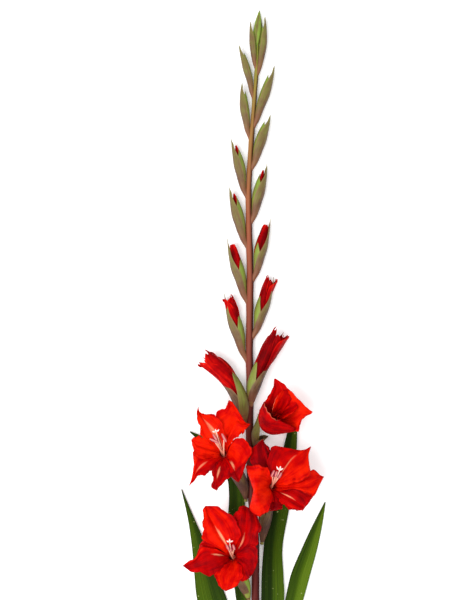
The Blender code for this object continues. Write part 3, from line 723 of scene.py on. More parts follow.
def tepal_sheet(tepal, seed):
    """Across the tepal, points run from the left edge over the vein to the right edge; the edges
    carry waves that grow outwards, and the vein lies in a shallow channel."""
    u, v = sheet_grid(TEPAL_ROWS, TEPAL_COLUMNS)
    first = np.array(tepal["vein"][0], float)
    first /= np.linalg.norm(first)
    beside = np.array([-first[1], first[0]])
    lines = {}
    for line, sign in (("left", 1), ("vein", 0), ("right", -1)):
        foot = TEPAL_FOOT * first + sign * TEPAL_FOOT_HALF_WIDTH * beside
        stations = np.array([foot, *tepal[line], tepal["tip"]], float)
        lines[line] = smooth_curve(TEPAL_STATIONS, stations, u[:, 0])[:, None]
    to_side = np.where(v[..., None] < 0, lines["left"], lines["right"]) - lines["vein"]
    width = np.linalg.norm(to_side, axis=-1)
    grown = ease(u / 0.35) * (1 - ease((u - 0.88) / 0.12) * 0.7)
    phase = np.where(v < 0, 0.0, 2.3) + seed * 1.7
    around_u = 2 * math.pi * u
    wave = np.sin(3.3 * around_u + phase) + 0.5 * np.sin(8.1 * around_u + 2 * phase)
    scallop = SCALLOP * np.abs(v) ** 4 * grown * np.sin(4.1 * around_u + 3 * phase)
    scallop += FRILL * np.abs(v) ** 6 * grown * np.sin(10.3 * around_u + phase)
    spread = np.abs(v)[..., None] * (1 + (scallop / np.maximum(width, 9))[..., None])
    up = 1 if tepal["layer"] >= 2 else -1
    curl_from, curl_drop = tepal.get("curl", (0.8, 4.0))
    detail = (
        up * EDGE_WAVE * np.abs(v) ** 3 * grown * (wave + 1.0)
        - VEIN_CHANNEL * np.exp(-((v / 0.13) ** 2)) * np.sin(math.pi * u) ** 0.5
        + FOLD_HEIGHT * np.cos(v * math.pi * 2.6 + seed) * grown * (1 - v**2)
        - curl_drop * ease((u - curl_from) / (1 - curl_from)) ** 1.5
        + LAYER_STEP * (tepal["layer"] - 1.5) * (0.25 + u)
    )
    return u, v, lines["vein"] + to_side * spread, detail


def build_tepal(number, name, tepal, seed):
    """A ruffled sheet on the floret's funnel, with its tone, which is partly painted light and
    shade, and its streak.
    """
    floret = FLORETS[number]
    u, v, flat, detail = tepal_sheet(tepal, seed)
    x, y = flat[..., 0], flat[..., 1]
    z = funnel_height(x, y, floret["lean"]) + detail
    from_u, change = tepal.get("tip_tone", (0.8, 0.0))
    tone = np.interp(v, (-1, 0, 1), tepal["tones"]) + change * ease((u - from_u) / 0.08)
    start, end, wide, strength = tepal.get("streak", NO_STREAK)
    body = np.clip((u - start) / max(end - start, 0.01), 0, 1)
    profile = np.sin(math.pi * body**0.8) ** 0.7
    streak = strength * profile * ease(1.6 - 1.6 * np.abs(v) / (wide * np.maximum(profile, 0.05)))
    node_name = f"floret_{number}_{name}_tepal"
    add_sheet(
        f"{node_name}_sheet", np.array(floret["throat"]) + np.stack([x, y, z], axis=-1),
        TEPAL_THICKNESS, tepal_red, node_name,
        along=u, across=v, tone=tone, streak=streak, rim=painted_edge_shade(u, v),
    )


for tepal_order, ((floret_number, tepal_name), tepal) in enumerate(TEPALS.items()):
    build_tepal(floret_number, tepal_name, tepal, 3 * floret_number + tepal_order % 6)

# The open florets' inside: a floral tube that widens into the throat, three stamens and a style.
# The tube is a fleshy pipe, grown from the stem, open at the throat. The stamens stand on its
# inner wall and bear long pollen cases. The style ends in three spread lobes.
FLOWER_STALK_Z = 5.6
FLOWER_STALK_OFFSET = 3.0
PATH_PAST_THROAT = 3.0
PATH_APPROACH = 14.0
# How far towards the throat a flower's path first bends: sideways, up the stem and upwards.
FLOWER_BEND = (0.3, 0.42, 0.34)
FLOOR_GAP = 0.4
TUBE_BASE_RADIUS = 2.2
TUBE_END_RADIUS = 4.9
TUBE_WALL = 0.6
TUBE_DEPTH = 16.0
TUBE_ROWS = 60
TUBE_INNER_ROWS = 20
TUBE_SIDES = 28
COLLAR_RADIUS = 17.0
COLLAR_DROP = 1.6
COLLAR_ROWS = 16
COLLAR_SIDES = 61
# Each pollen case from end to end, the style's top and its lobes' ends, from the throat.
STAMENS = {
    1: dict(
        anthers=(
            ((-4.4, 17.5), (-1.8, 7.0)), ((-0.4, 17.4), (2.4, 9.2)), ((-8.2, 17.6), (-4.4, 9.4)),
        ),
        style=(-4.0, 19.5), lobes=((-8.0, 22.0), (0.6, 22.2), (-4.0, 24.6)),
    ),
    2: dict(
        anthers=(
            ((-1.6, 12.0), (3.2, 22.0)), ((7.0, 10.4), (11.6, 19.2)), ((3.2, 12.0), (6.0, 21.0)),
        ),
        style=(8.6, 20.5), lobes=((4.4, 26.6), (13.6, 24.4), (10.2, 27.2)),
    ),
    3: dict(
        anthers=(
            ((-18.1, 20.4), (-3.9, 14.4)), ((-13.2, 26.4), (-7.2, 16.8)),
            ((-2.8, 27.4), (4.0, 14.6)),
        ),
        style=(-8.6, 27.6), lobes=((-14.2, 29.0), (-4.6, 31.8), (-9.8, 32.0)),
    ),
}
STAMEN_ROWS = 40
THREAD_SIDES = 12
ANTHER_SIDES = 20
ANTHER_RADIUS = 1.3
ANTHER_SHARE = 0.8
ANTHER_CLEARANCE = 5.0
ANTHER_STEP = 1.5
ANTHER_RISE = 22.0
STAMEN_FOOT_DEPTH = 11.0
STAMEN_FOOT_RADIUS = 1.6
STYLE_CLEARANCE = 9.0
STYLE_RISE = 33.0
LOBE_SHARE = 0.85


def bezier(points, t):
    """The smooth curve that four points give."""
    a, b, c, d = (np.asarray(point, float) for point in points)
    t = np.asarray(t, float)[:, None]
    return (1 - t) ** 3 * a + 3 * (1 - t) ** 2 * t * b + 3 * (1 - t) * t**2 * c + t**3 * d


def side_of(number):
    return -1 if number % 2 else 1


def stalk_start(number):
    """Where a flower leaves the stem: odd ones on the left, even ones on the right."""
    height = NODE_HEIGHTS[number - 1]
    x = stem_x(height) + side_of(number) * (stem_radius(height) + FLOWER_STALK_OFFSET)
    return np.array([x, height_to_y(height), FLOWER_STALK_Z])


def path_frame(path, outward):
    """Directions across a path: the first nearest to outward, the second square to both."""
    along = np.gradient(path, axis=0)
    along /= np.linalg.norm(along, axis=1, keepdims=True)
    across = outward - (along @ outward)[:, None] * along
    across /= np.linalg.norm(across, axis=1, keepdims=True)
    return across, np.cross(across, along)


def around(centres, directions, radius, turns, flatness=1.0):
    """Points off their centres: at no angle in the first direction, and at 90 degrees in the
    second. None lies lower than a little above the floor."""
    across, beside = directions
    ring = np.cos(turns)[..., None] * across + flatness * np.sin(turns)[..., None] * beside
    points = centres + radius[..., None] * ring
    points[..., 2] = np.maximum(points[..., 2], FLOOR_GAP)
    return points


def around_path(path, outward, radius, turns, flatness=1.0):
    """The same round each row of a path, from the outward direction on."""
    across, beside = path_frame(path, np.asarray(outward, float))
    return around(path[:, None], (across[:, None], beside[:, None]), radius, turns, flatness)


def join_shells(shells):
    """Several closed shells as one mesh."""
    points, faces, first = [], [], 0
    for shell_points, shell_faces in shells:
        shell_points = shell_points.reshape(-1, 3)
        points.append(shell_points)
        faces += [[first + point for point in face] for face in shell_faces]
        first += len(shell_points)
    return np.concatenate(points), faces


def flower_axis(floret):
    axis = np.array([*floret["lean"], RIM_RISE])
    return axis / np.linalg.norm(axis)


def flower_path(number, floret, rows):
    """Out of the stem, over its bracts and up into the throat along the flower's axis."""
    start = stalk_start(number)
    axis = flower_axis(floret)
    end = np.array(floret["throat"]) + PATH_PAST_THROAT * axis
    first = start + (end - start) * floret.get("bend", FLOWER_BEND)
    return bezier([start, first, end - PATH_APPROACH * axis, end], np.linspace(0, 1, rows))


tube_skin, tube_surface = new_skin("tube_skin", 0.45)
tube_blotch = body_noise(tube_skin, 160.0)
tube_colour = blend(
    tube_skin,
    varied(tube_skin, mark(tube_skin, "along"), tube_blotch, 0.16, 0.08),
    [
        (0.0, (0.22, 0.20, 0.05)),
        (0.30, (0.45, 0.16, 0.07)),
        (0.48, (0.45, 0.010, 0.006)),
        (0.62, (0.60, 0.050, 0.025)),
        (1.0, (0.34, 0.012, 0.010)),
    ],
)
colour_and_relief(tube_skin, tube_surface, tube_colour, body_noise(tube_skin, 500.0), 0.2, 0.0004)

stamen_skin, stamen_surface = new_skin("stamen_pink", 0.5)
stamen_blotch = body_noise(stamen_skin, 700.0)
stamen_colour = blend(
    stamen_skin,
    varied(stamen_skin, mark(stamen_skin, "tone"), stamen_blotch, 0.2, 0.1),
    [
        (0.0, (0.22, 0.03, 0.07)),
        (0.3, (0.40, 0.10, 0.14)),
        (0.6, (0.80, 0.25, 0.13)),
        (0.8, (0.80, 0.45, 0.33)),
        (1.0, (0.84, 0.74, 0.72)),
    ],
)
stamen_grain = body_noise(stamen_skin, 1500.0)
colour_and_relief(stamen_skin, stamen_surface, stamen_colour, stamen_grain, 0.4, 0.0003)
stamen_pink = (stamen_skin, "stamen_pink")


def build_floral_tube(number, floret):
    """A pipe whose outer wall widens up to the throat; there it turns in and runs back down
    inside, where it narrows to a floor."""
    path = flower_path(number, floret, TUBE_ROWS)
    t = np.linspace(0, 1, TUBE_ROWS)
    depth = np.linspace(0, 1, TUBE_INNER_ROWS)
    outer = TUBE_BASE_RADIUS + (TUBE_END_RADIUS - TUBE_BASE_RADIUS) * t**1.5
    inner = (TUBE_END_RADIUS - TUBE_WALL) * (1 - 0.5 * depth**2)
    down = path[-1] - TUBE_DEPTH * depth[:, None] * flower_axis(floret)
    directions = [
        np.concatenate([way, np.repeat(way[-1:], TUBE_INNER_ROWS, axis=0)])[:, None]
        for way in path_frame(path, np.array([side_of(number), 0.0, 0.0]))
    ]
    radius = np.concatenate([outer, inner])[:, None]
    centres = np.concatenate([path, down])[:, None]
    points = around(centres, directions, radius, full_turn(TUBE_SIDES))
    add_piece(
        f"floret_{number}_tube_wall", points, tube_faces(len(centres), TUBE_SIDES),
        (tube_skin, "bract_olive"), f"floret_{number}_tube",
        along=np.concatenate([0.5 * t, 0.5 + 0.5 * depth])[:, None],
    )


def build_collar(number, floret):
    """The tube's flared end, where the six tepals join: a round sheet under their feet."""
    reach = np.linspace(TUBE_BASE_RADIUS, COLLAR_RADIUS, COLLAR_ROWS)[:, None]
    turns = np.linspace(0, 2 * math.pi, COLLAR_SIDES)[None, :]
    share = reach / COLLAR_RADIUS
    x, y = reach * np.cos(turns), reach * np.sin(turns)
    z = funnel_height(x, y, floret["lean"]) - COLLAR_DROP - 0.9 * ease(share)
    add_sheet(
        f"floret_{number}_tube_collar", np.array(floret["throat"]) + np.stack([x, y, z], axis=-1),
        TEPAL_THICKNESS, tepal_red, f"floret_{number}_tube", along=0.05 + 0.3 * share,
        across=np.cos(3 * turns), tone=0.3 + 0.1 * share, streak=0, rim=0,
    )


def thread(path, radius, flatness=1.0):
    """A closed shell round a path, as thick as the radius says at each row."""
    turns = full_turn(THREAD_SIDES)
    points = around_path(path, (1.0, 0.1, 0.0), radius[:, None], turns, flatness)
    return points, tube_faces(len(path), THREAD_SIDES)


def above_tepals(floret, x, y, clearance):
    return floret["throat"][2] + funnel_height(x, y, floret["lean"]) + clearance


def build_stamen(number, floret, turn, ends):
    """A thread from inside the tube to the middle of its pollen case, and the case: a bowed
    spindle with a groove along each side."""
    throat = np.array(floret["throat"])
    axis = flower_axis(floret)
    t = np.linspace(0, 1, STAMEN_ROWS)
    piece_name = f"floret_{number}_stamens_and_style"
    clearance = ANTHER_CLEARANCE + ANTHER_STEP * turn
    height = max(above_tepals(floret, *end, clearance) for end in ends)
    height = max(height, throat[2] + ANTHER_RISE)
    low, high = throat[:2] + np.array(ends)
    middle = (low + high) / 2
    angle = 2 * math.pi * turn / 3 + 0.6
    foot = throat - STAMEN_FOOT_DEPTH * axis
    foot = foot + STAMEN_FOOT_RADIUS * np.array([math.cos(angle), math.sin(angle), 0])
    lift = np.array([*(throat[:2] + 0.35 * (middle - throat[:2])), height - 8.0])
    top = np.array([*middle, height - 0.9])
    filament = bezier([foot, foot + 14.0 * axis, lift, top], t)
    add_piece(
        f"{piece_name}_filament_{turn + 1}", *thread(filament, 1.5 - 0.8 * t), stamen_pink,
        piece_name, tone=0.62 + 0.18 * t[:, None],
    )
    first = np.array([*(middle + ANTHER_SHARE * (low - middle)), height - 0.6])
    last = np.array([*(middle + ANTHER_SHARE * (high - middle)), height + 0.9])
    case = first + (last - first) * t[:, None]
    case[:, 2] += np.sin(math.pi * t)
    plump = ANTHER_RADIUS * np.clip(1 - np.abs(2 * t - 1) ** 3.2, 0.02, 1) ** 0.5
    turns = full_turn(ANTHER_SIDES)
    lobed = plump[:, None] * (1 + 0.22 * np.cos(2 * turns))
    points = around_path(case, (last - first)[[1, 0, 2]] * (1, -1, 0), lobed, turns)
    add_piece(
        f"{piece_name}_anther_{turn + 1}", points, tube_faces(STAMEN_ROWS, ANTHER_SIDES),
        stamen_pink, piece_name, tone=0.275 - 0.225 * np.cos(2 * turns),
    )


def build_style(number, floret, tip, lobes):
    """A thread up through the tube, with three flat, rounded arms at its top."""
    throat = np.array(floret["throat"])
    axis = flower_axis(floret)
    t = np.linspace(0, 1, STAMEN_ROWS)
    stigma = throat[:2] + np.array(tip)
    height = max(above_tepals(floret, *tip, STYLE_CLEARANCE), throat[2] + STYLE_RISE)
    foot = throat - STAMEN_FOOT_DEPTH * axis
    lift = np.array([*(throat[:2] + 0.45 * (stigma - throat[:2])), height - 12.0])
    top = np.array([*stigma, height])
    style = bezier([foot, foot + 16.0 * axis, lift, top], t)
    shells = [thread(style, 0.75 - 0.2 * t)]
    tones = [0.62 + 0.25 * t]
    for lobe in lobes:
        end = np.array([*(stigma + LOBE_SHARE * (throat[:2] + lobe - stigma)), height + 1.2])
        bend = (top + end) / 2 + np.array([0.0, 0.0, 1.6])
        arm = bezier([top - (0, 0, 0.3), (top + bend) / 2, bend, end], t)
        shells.append(thread(arm, 0.35 + 0.62 * np.sin(math.pi * t**1.6) ** 1.5, 0.6))
        tones.append(0.86 + 0.14 * t)
    points, faces = join_shells(shells)
    name = f"floret_{number}_stamens_and_style"
    tone = np.repeat(np.concatenate(tones), THREAD_SIDES)
    add_piece(f"{name}_pistil", points, faces, stamen_pink, name, tone=tone)


for floret_number, floret in FLORETS.items():
    build_floral_tube(floret_number, floret)
    build_collar(floret_number, floret)
    for turn, anther_ends in enumerate(STAMENS[floret_number]["anthers"]):
        build_stamen(floret_number, floret, turn, anther_ends)
    build_style(
        floret_number, floret, STAMENS[floret_number]["style"], STAMENS[floret_number]["lobes"]
    )

# The half-open floret: the fourth from below. Its three outer tepals have parted, and its three
# inner ones are still furled about one another in a heart, all of them thin curved petals.
HALF_OPEN_NUMBER = 4
HALF_OPEN_FLORET = dict(throat=(22.2, -54.0, 18.0), lean=(16.0, 18.0), bend=(-0.08, 0.55, 0.34))
# Nets of points that the petals run through, in millimetres from the throat. Each row of a net
# goes across its petal, and the rows follow from foot to tip.
# Their tones, across each petal, are partly its own colour and partly painted light and shade.
HALF_OPEN_TEPALS = {
    "upper_tepal": dict(
        net=(
            ((-5, 2, -2), (-1, 4, -5), (4, 3, -4)), ((-13.4, 18, 15), (-2, 17, 7), (12, 14, 6)),
            ((-9.8, 27, 20), (2, 27, 14), (24, 29, 14)),
            ((-4.2, 36, 21), (6, 36, 17), (23, 39, 17)), ((1.2, 46, 19), (8, 45, 17), (15, 49, 18)),
            ((2.4, 56, 17), (3.5, 56.6, 17), (5, 56, 17)),
        ),
        tones=(0.4, 0.45, 0.55),
    ),
    "right_tepal": dict(
        net=(
            ((1, 5, -3), (4, 2, -5), (4, -3, -2)), ((12, 22, 11), (15, 13, 4), (17, -6, 8)),
            ((18, 43, 18), (25, 18, 12), (31, -6.6, 14)),
            ((30, 33.5, 18), (34, 18, 16), (34.6, 4.6, 16)),
            ((40.8, 22.4, 18), (42, 17, 16.5), (40.4, 11, 15)),
            ((46, 18, 14), (48.4, 16.4, 14), (47, 14, 14)),
        ),
        tones=(0.75, 0.95, 0.7),
    ),
    "left_tepal": dict(
        net=(
            ((-9.6, 29, 22), (-13, 22, 18), (-14.8, 16, 9), (-5, 5, -3)),
            ((-8.6, 24, 26), (-13, 14, 21), (-15.8, 5, 7), (-4, 2, -4)),
            ((-4.6, 16.4, 29), (-9, 6, 23), (-12, -5, 6), (-3, 0, -4)),
            ((2.5, 8.3, 30), (-1, 0, 23), (-1.1, -10.9, 7), (-1, -2, -4)),
            ((9.5, 6.2, 29), (11, -2, 21), (13, -9.6, 9), (1, -2, -4)),
            ((27, -3, 18), (27, -5, 15), (26, -6.8, 11), (4, -2, -3)),
        ),
        tones=(0.35, 0.3, 0.25), pale_edge=0.4,
    ),
}
HEART_PETALS = {
    "left": dict(
        net=(
            ((-2, 12, 2), (4, 12, -1), (9, 11, -1)), ((0.2, 18, 19), (5, 17, 8), (12, 14, 3)),
            ((1.7, 25, 25), (8, 23, 15), (17, 20, 9)),
            ((4.4, 32.5, 26), (12, 30, 18), (21, 27, 13)),
            ((8, 38, 25), (14, 36, 20), (21, 35, 17)),
            ((13, 42.5, 22), (15, 42.5, 20), (17, 42.5, 19)),
        ),
        tones=(0.85, 0.5, 0.45), pale_edge=0.3,
    ),
    "right": dict(
        net=(
            ((6, 6, 0), (7, 10, -1), (8, 13, 1)), ((11, 8, 17), (12, 13, 7), (13, 18, 5)),
            ((18, 11, 23), (19, 17, 14), (18, 24, 10)), ((25, 15, 23), (25, 21, 17), (24, 28, 14)),
            ((31, 21, 19), (30, 25, 17), (28, 30, 16)),
        ),
        tones=(0.6, 0.35, 0.65),
    ),
}
HALF_OPEN_ROWS = 60
HALF_OPEN_COLUMNS = 45
HALF_OPEN_FRILL = 0.04
HALF_OPEN_WAVE = 1.2
HALF_OPEN_FOLD = 0.35
HEART_LENGTH = 26.0
HEART_RADIUS = (2.4, 6.0)
HEART_TURNS = 1.2
HEART_COLUMNS = 150
HEART_START_ANGLE = 2.2
HEART_DEPTH = 4.0


def through_net(net, rows, columns):
    """The smooth surface through a net of points."""
    net = np.array(net, float)
    along = smooth_curve(np.linspace(0, 1, len(net)), net, np.linspace(0, 1, rows))
    across = np.moveaxis(along, 1, 0)
    surface = smooth_curve(np.linspace(0, 1, len(across)), across, np.linspace(0, 1, columns))
    return np.moveaxis(surface, 0, 1)


def build_half_open_tepal(piece_name, node_name, tepal, seed):
    """The surface through the net, with a wavy free edge and shallow folds lengthwise."""
    points = through_net(tepal["net"], HALF_OPEN_ROWS, HALF_OPEN_COLUMNS)
    u, v = sheet_grid(HALF_OPEN_ROWS, HALF_OPEN_COLUMNS)
    around_u = 2 * math.pi * u
    edge = np.abs(v) ** 4 * ease(u / 0.3) * (1 - ease((u - 0.85) / 0.15))
    if len(tepal["net"][0]) > 3:
        edge = edge * (v < 0)
    frill = HALF_OPEN_FRILL * edge * v**2 * np.sin(6.1 * around_u + 2.6 * seed + 2 * np.sign(v))
    points += frill[..., None] * (points - points[:, HALF_OPEN_COLUMNS // 2, None])
    points[..., 2] += edge * HALF_OPEN_WAVE * np.sin(4.3 * around_u + 2 * seed + 1.5 * v)
    points[..., 2] += HALF_OPEN_FOLD * np.cos(9 * v + seed) * np.sin(math.pi * u)
    at_edge = np.clip(-14 * v - 13.0, 0, 1) * np.sin(math.pi * np.clip(1.3 * u, 0, 1))
    pale = tepal.get("pale_edge", 0.0) * at_edge
    add_sheet(
        piece_name, points + np.array(HALF_OPEN_FLORET["throat"]), TEPAL_THICKNESS, tepal_red,
        node_name, along=u + 0.25, across=v, tone=np.interp(v, (-1, 0, 1), tepal["tones"]),
        streak=pale, rim=painted_edge_shade(u, v) * (pale == 0),
    )


def build_heart(node_name):
    """A sheet rolled about the flower's axis: its distance from the axis grows with the turn and
    towards the top, and the top edge rises and falls."""
    u = np.linspace(0, 1, HALF_OPEN_ROWS)[:, None]
    share = np.linspace(0, 1, HEART_COLUMNS)[None, :]
    turns = 2 * math.pi * HEART_TURNS * share
    low, high = HEART_RADIUS
    radius = (low + (high - low) * u**1.3) * (0.22 + 0.78 * share) + 0.5 * np.sin(5 * turns) * u**3
    reach = u * HEART_LENGTH * (1 - 0.10 * share + 0.05 * np.sin(1.9 * turns))
    axis = flower_axis(HALF_OPEN_FLORET)
    across = np.cross(axis, (0.0, 0.0, 1.0))
    across /= np.linalg.norm(across)
    centres = np.array(HALF_OPEN_FLORET["throat"]) + (reach - HEART_DEPTH)[..., None] * axis
    directions = (across, np.cross(axis, across))
    # Painted shade: the furl is darkest at its foot, deep in the heart.
    add_sheet(
        f"{node_name}_furl", around(centres, directions, radius, HEART_START_ANGLE + turns),
        TEPAL_THICKNESS, tepal_red, node_name, along=0.3 + 0.7 * u, across=2 * share - 1,
        tone=0.75 * u**2 * (0.3 + 0.7 * np.sin(1.5 * turns) ** 2), streak=0, rim=0,
    )


for seed, (tepal_name, tepal) in enumerate(HALF_OPEN_TEPALS.items()):
    tepal_node = f"floret_{HALF_OPEN_NUMBER}_{tepal_name}"
    build_half_open_tepal(f"{tepal_node}_sheet", tepal_node, tepal, seed)
heart_node = f"floret_{HALF_OPEN_NUMBER}_heart"
for seed, (petal_name, petal) in enumerate(HEART_PETALS.items()):
    build_half_open_tepal(f"{heart_node}_{petal_name}", heart_node, petal, seed + 5)
build_heart(heart_node)

# The bracts of the six lower flowers: two leathery boat-shaped leaves that clasp the flower's
# foot, the outer one away from the stem and the inner one between flower and stem.
# A bract is its reach along the flower's path, its radius and its tones at foot and tip.
LOWER_BRACTS = {
    1: dict(outer=(0.80, 7.8, (0.05, 0.40)), inner=(0.68, 6.9, (0.95, 1.0))),
    2: dict(outer=(0.80, 7.8, (-0.05, 0.20)), inner=(0.68, 6.9, (0.10, 0.45))),
    3: dict(outer=(0.80, 7.8, (-0.10, 0.10)), inner=(0.68, 6.9, (0.05, 0.40))),
    4: dict(outer=(0.56, 7.2, (0.0, 0.35)), inner=(0.96, 7.2, (0.40, 0.75))),
    5: dict(outer=(0.74, 8.8, (0.0, 0.35)), inner=(0.80, 9.4, (0.50, 0.75))),
    6: dict(outer=(0.68, 8.2, (0.0, 0.40)), inner=(0.64, 7.8, (0.60, 0.85))),
}
BRACT_LEANS = {(4, "inner"): (-9.0, 12.0, 0.0)}
# Where a bract's middle lies round its flower and how far it reaches to each side, in degrees.
BRACT_WRAPS = dict(
    outer=((0, 0, 150), (0.3, 0, 120), (0.6, -5, 82), (0.85, -8, 42), (1, -8, 0)),
    inner=((0, 180, 140), (0.3, 180, 118), (0.6, 180, 86), (0.85, 180, 45), (1, 180, 0)),
)
# Foot is how far off the usual place an opening bud's path starts. It bends at two shares of
# the way to its end, in x, y and z.
OPENING_BUDS = {
    5: dict(
        foot=(1.0, 0.0, 0.0), end=(-59.4, 28.4, 16.0),
        bends=((0.02, 0.36, 0.62), (0.20, 0.68, 0.9)), tone=0.2,
    ),
    6: dict(
        foot=(-6.5, -12.0, 0.0), end=(31.5, 57.0, 16.0),
        bends=((-0.02, 0.42, 0.8), (0.54, 0.66, 0.95)), tone=0.05,
    ),
}
BRACT_THICKNESS = 0.6
BRACT_ROWS = 56
BRACT_COLUMNS = 29
BRACT_START_RADIUS = 1.0
BRACT_PATH_ROWS = 400
KEEL_RISE = 0.05
FLORET_FOOT_BLUSH = 0.3
BUD_FOOT_BLUSH = 0.9

bract_skin, bract_surface = new_skin("bract_olive", 0.5)
bract_along = mark(bract_skin, "along")
bract_vein = drawn_noise(bract_skin, mark(bract_skin, "across"), bract_along, 16.0, 3.0, 4.0)
bract_tone = varied(bract_skin, mark(bract_skin, "tone"), bract_vein, 0.9, 0.45)
bract_colour = blend(
    bract_skin,
    varied(bract_skin, bract_tone, body_noise(bract_skin, 120.0), 0.5, 0.25),
    [
        (0.0, (0.050, 0.018, 0.012)),
        (0.28, (0.135, 0.070, 0.030)),
        (0.55, (0.155, 0.140, 0.028)),
        (0.8, (0.190, 0.230, 0.035)),
        (1.0, (0.190, 0.300, 0.030)),
    ],
)
bract_foot = blend(
    bract_skin,
    varied(bract_skin, bract_along, bract_vein, 0.16, 0.08),
    [(0.02, (1, 1, 1)), (0.38, (0, 0, 0))],
)
bract_foot = count(bract_skin, "MULTIPLY", bract_foot, mark(bract_skin, "foot"))
bract_colour = mixed(bract_skin, bract_foot, bract_colour, (0.27, 0.095, 0.045))
# Painted light: the bract's margins are laid over with a pale tan, as rim light.
bract_rim_light = count(bract_skin, "MULTIPLY", mark(bract_skin, "margin"), 0.4)
bract_colour = mixed(bract_skin, bract_rim_light, bract_colour, (0.36, 0.24, 0.10))
colour_and_relief(bract_skin, bract_surface, bract_colour, bract_vein, 0.5, 0.0007)
bract_olive = (bract_skin, "bract_olive")


def build_bract(name, stands_for, path, side, radius, wrap, tones, blush):
    """A sheet that wraps the path: round it by the wrap's angles, middle and half width, and off
    it by the radius, with a keel along its middle. Its foot is as pink as the blush says."""
    u, v = sheet_grid(len(path), BRACT_COLUMNS)
    places, middles, halves = np.array(wrap, float).T
    middle = smooth_curve(places, middles, u)
    half = np.maximum(smooth_curve(places, halves, u), 0.8)
    keeled = radius[:, None] * (1 + KEEL_RISE * np.exp(-((v / 0.12) ** 2)))
    points = around_path(path, (side, 0.0, 0.0), keeled, np.radians(middle + half * v))
    low_tone, high_tone = tones
    # Painted light and shade: the tone is darker along the bract's middle, and its margins are
    # marked for the pale rim light.
    add_sheet(
        name, points, BRACT_THICKNESS, bract_olive, stands_for, along=u, across=v,
        tone=low_tone + (high_tone - low_tone) * u - 0.30 * np.exp(-((v / 0.25) ** 2)),
        margin=np.abs(v) ** 10 * ease((u - 0.25) / 0.2), foot=blush,
    )


def opening_bud_path(number, rows):
    """Up beside the stem at first, then away from it."""
    bud = OPENING_BUDS[number]
    start = stalk_start(number) + bud["foot"]
    end = np.array(bud["end"])
    bends = [start + (end - start) * bend for bend in bud["bends"]]
    return bezier([start, *bends, end], np.linspace(0, 1, rows))


def build_lower_bract(number, part, reach, widest, tones):
    """It follows its flower's path up to its reach, and widens over the lower half."""
    if number in OPENING_BUDS:
        path = opening_bud_path(number, BRACT_PATH_ROWS)
        node_name, blush = f"bud_{number}_{part}_bract", BUD_FOOT_BLUSH
    else:
        path = flower_path(number, FLORETS.get(number, HALF_OPEN_FLORET), BRACT_PATH_ROWS)
        node_name, blush = f"floret_{number}_{part}_bract", FLORET_FOOT_BLUSH
    u = np.linspace(0, 1, BRACT_ROWS)
    short = path[np.round(u * reach * (BRACT_PATH_ROWS - 1)).astype(int)]
    short = short + (u**1.5)[:, None] * np.array(BRACT_LEANS.get((number, part), (0, 0, 0)))
    growth = np.sin(math.pi / 2 * np.clip(u / 0.5, 0, 1))
    radius = BRACT_START_RADIUS + (widest - BRACT_START_RADIUS) * growth + 0.8 * u**3
    build_bract(
        f"{node_name}_boat", node_name, short, side_of(number), radius, BRACT_WRAPS[part], tones,
        blush,
    )


for flower_number, flower_bracts in LOWER_BRACTS.items():
    for part, bract in flower_bracts.items():
        build_lower_bract(flower_number, part, *bract)

# The two opening buds: crimson petals rolled about one another into a twisted, ragged tube,
# out of the two bracts. A petal is its middle angle, its length, its half width and its flare.
BUD_PETALS = {
    5: (
        (70, 0.96, 95, 1.2), (190, 1.01, 92, 1.4), (310, 0.99, 92, 1.4),
        (120, 1.0, 70, -2.5), (250, 0.98, 60, -4.5),
    ),
    6: (
        (85, 0.97, 98, 0.4), (205, 0.94, 90, 0.2), (325, 1.0, 90, 1.4),
        (140, 1.03, 70, -2.5), (280, 1.0, 60, -4.5),
    ),
}
BUD_RADIUS_STATIONS = (0, 0.17, 0.34, 0.5, 0.67, 0.84, 1)
OPENING_BUD_RADII = (1.0, 3.2, 6.0, 8.8, 11.2, 12.0, 11.4)
BUD_PETAL_ROWS = 70
BUD_PETAL_COLUMNS = 41
BUD_TWIST = 70.0
BUD_PETAL_STEP = 0.3
BUD_EDGE_WAVE = 0.9
BUD_END_WAVE = 0.8
bud_red = tepal_finish(
    "bud_red", (0.12, 0.0, 0.001), (0.34, 0.0, 0.001), (0.72, 0.008, 0.002), (0.9, 0.25, 0.15)
)


def build_rolled_petals(name, stands_for, whole, side, radii, petals, base_tone):
    """Each petal wraps the path, which comes as many points; its edges wave, and its end is
    short and ragged."""
    u, v = sheet_grid(BUD_PETAL_ROWS, BUD_PETAL_COLUMNS)
    narrow = np.sqrt(np.clip(1 - u**16, 0.08, 1))
    across, beside = path_frame(whole, np.array([side, 0.0, 0.0]))
    last = len(whole) - 1
    for index, (middle, length, half_width, flare) in enumerate(petals):
        ragged = 1 + 0.025 * np.sin(5 * v + 2.2 * index) * u**4 - 0.02 * v**2 * u**3
        reach = np.clip(u * length * ragged, 0, 1.05) * last
        below = np.clip(reach.astype(int), 0, last - 1)
        between = (reach - below)[..., None]
        centres = whole[below] + (whole[below + 1] - whole[below]) * between
        turns = np.radians(middle + BUD_TWIST * (u - 0.5) + half_width * v * narrow)
        wave = BUD_EDGE_WAVE * np.abs(v) ** 3 * np.sin(17 * u + 2 * index) * u
        wave = wave + BUD_END_WAVE * np.sin(7 * v + index) * u**2
        radius = smooth_curve(BUD_RADIUS_STATIONS, radii, u) * (0.80 + 0.10 * v)
        radius = radius + wave + flare * u**5 + BUD_PETAL_STEP * index * u
        add_sheet(
            f"{name}_{index + 1}",
            around(centres, (across[below], beside[below]), radius, turns),
            TEPAL_THICKNESS, bud_red, stands_for, along=0.3 + 0.7 * u, across=v,
            tone=base_tone + 0.25 * u + 0.35 * np.abs(v) ** 4 * u + 0.12 * index * u**3,
            streak=0, rim=0.6 * painted_edge_shade(u, v),
        )


for bud_number, bud in OPENING_BUDS.items():
    build_rolled_petals(
        f"bud_{bud_number}_corolla_petal", f"bud_{bud_number}_corolla",
        opening_bud_path(bud_number, BRACT_PATH_ROWS), side_of(bud_number), OPENING_BUD_RADII,
        BUD_PETALS[bud_number], bud["tone"],
    )

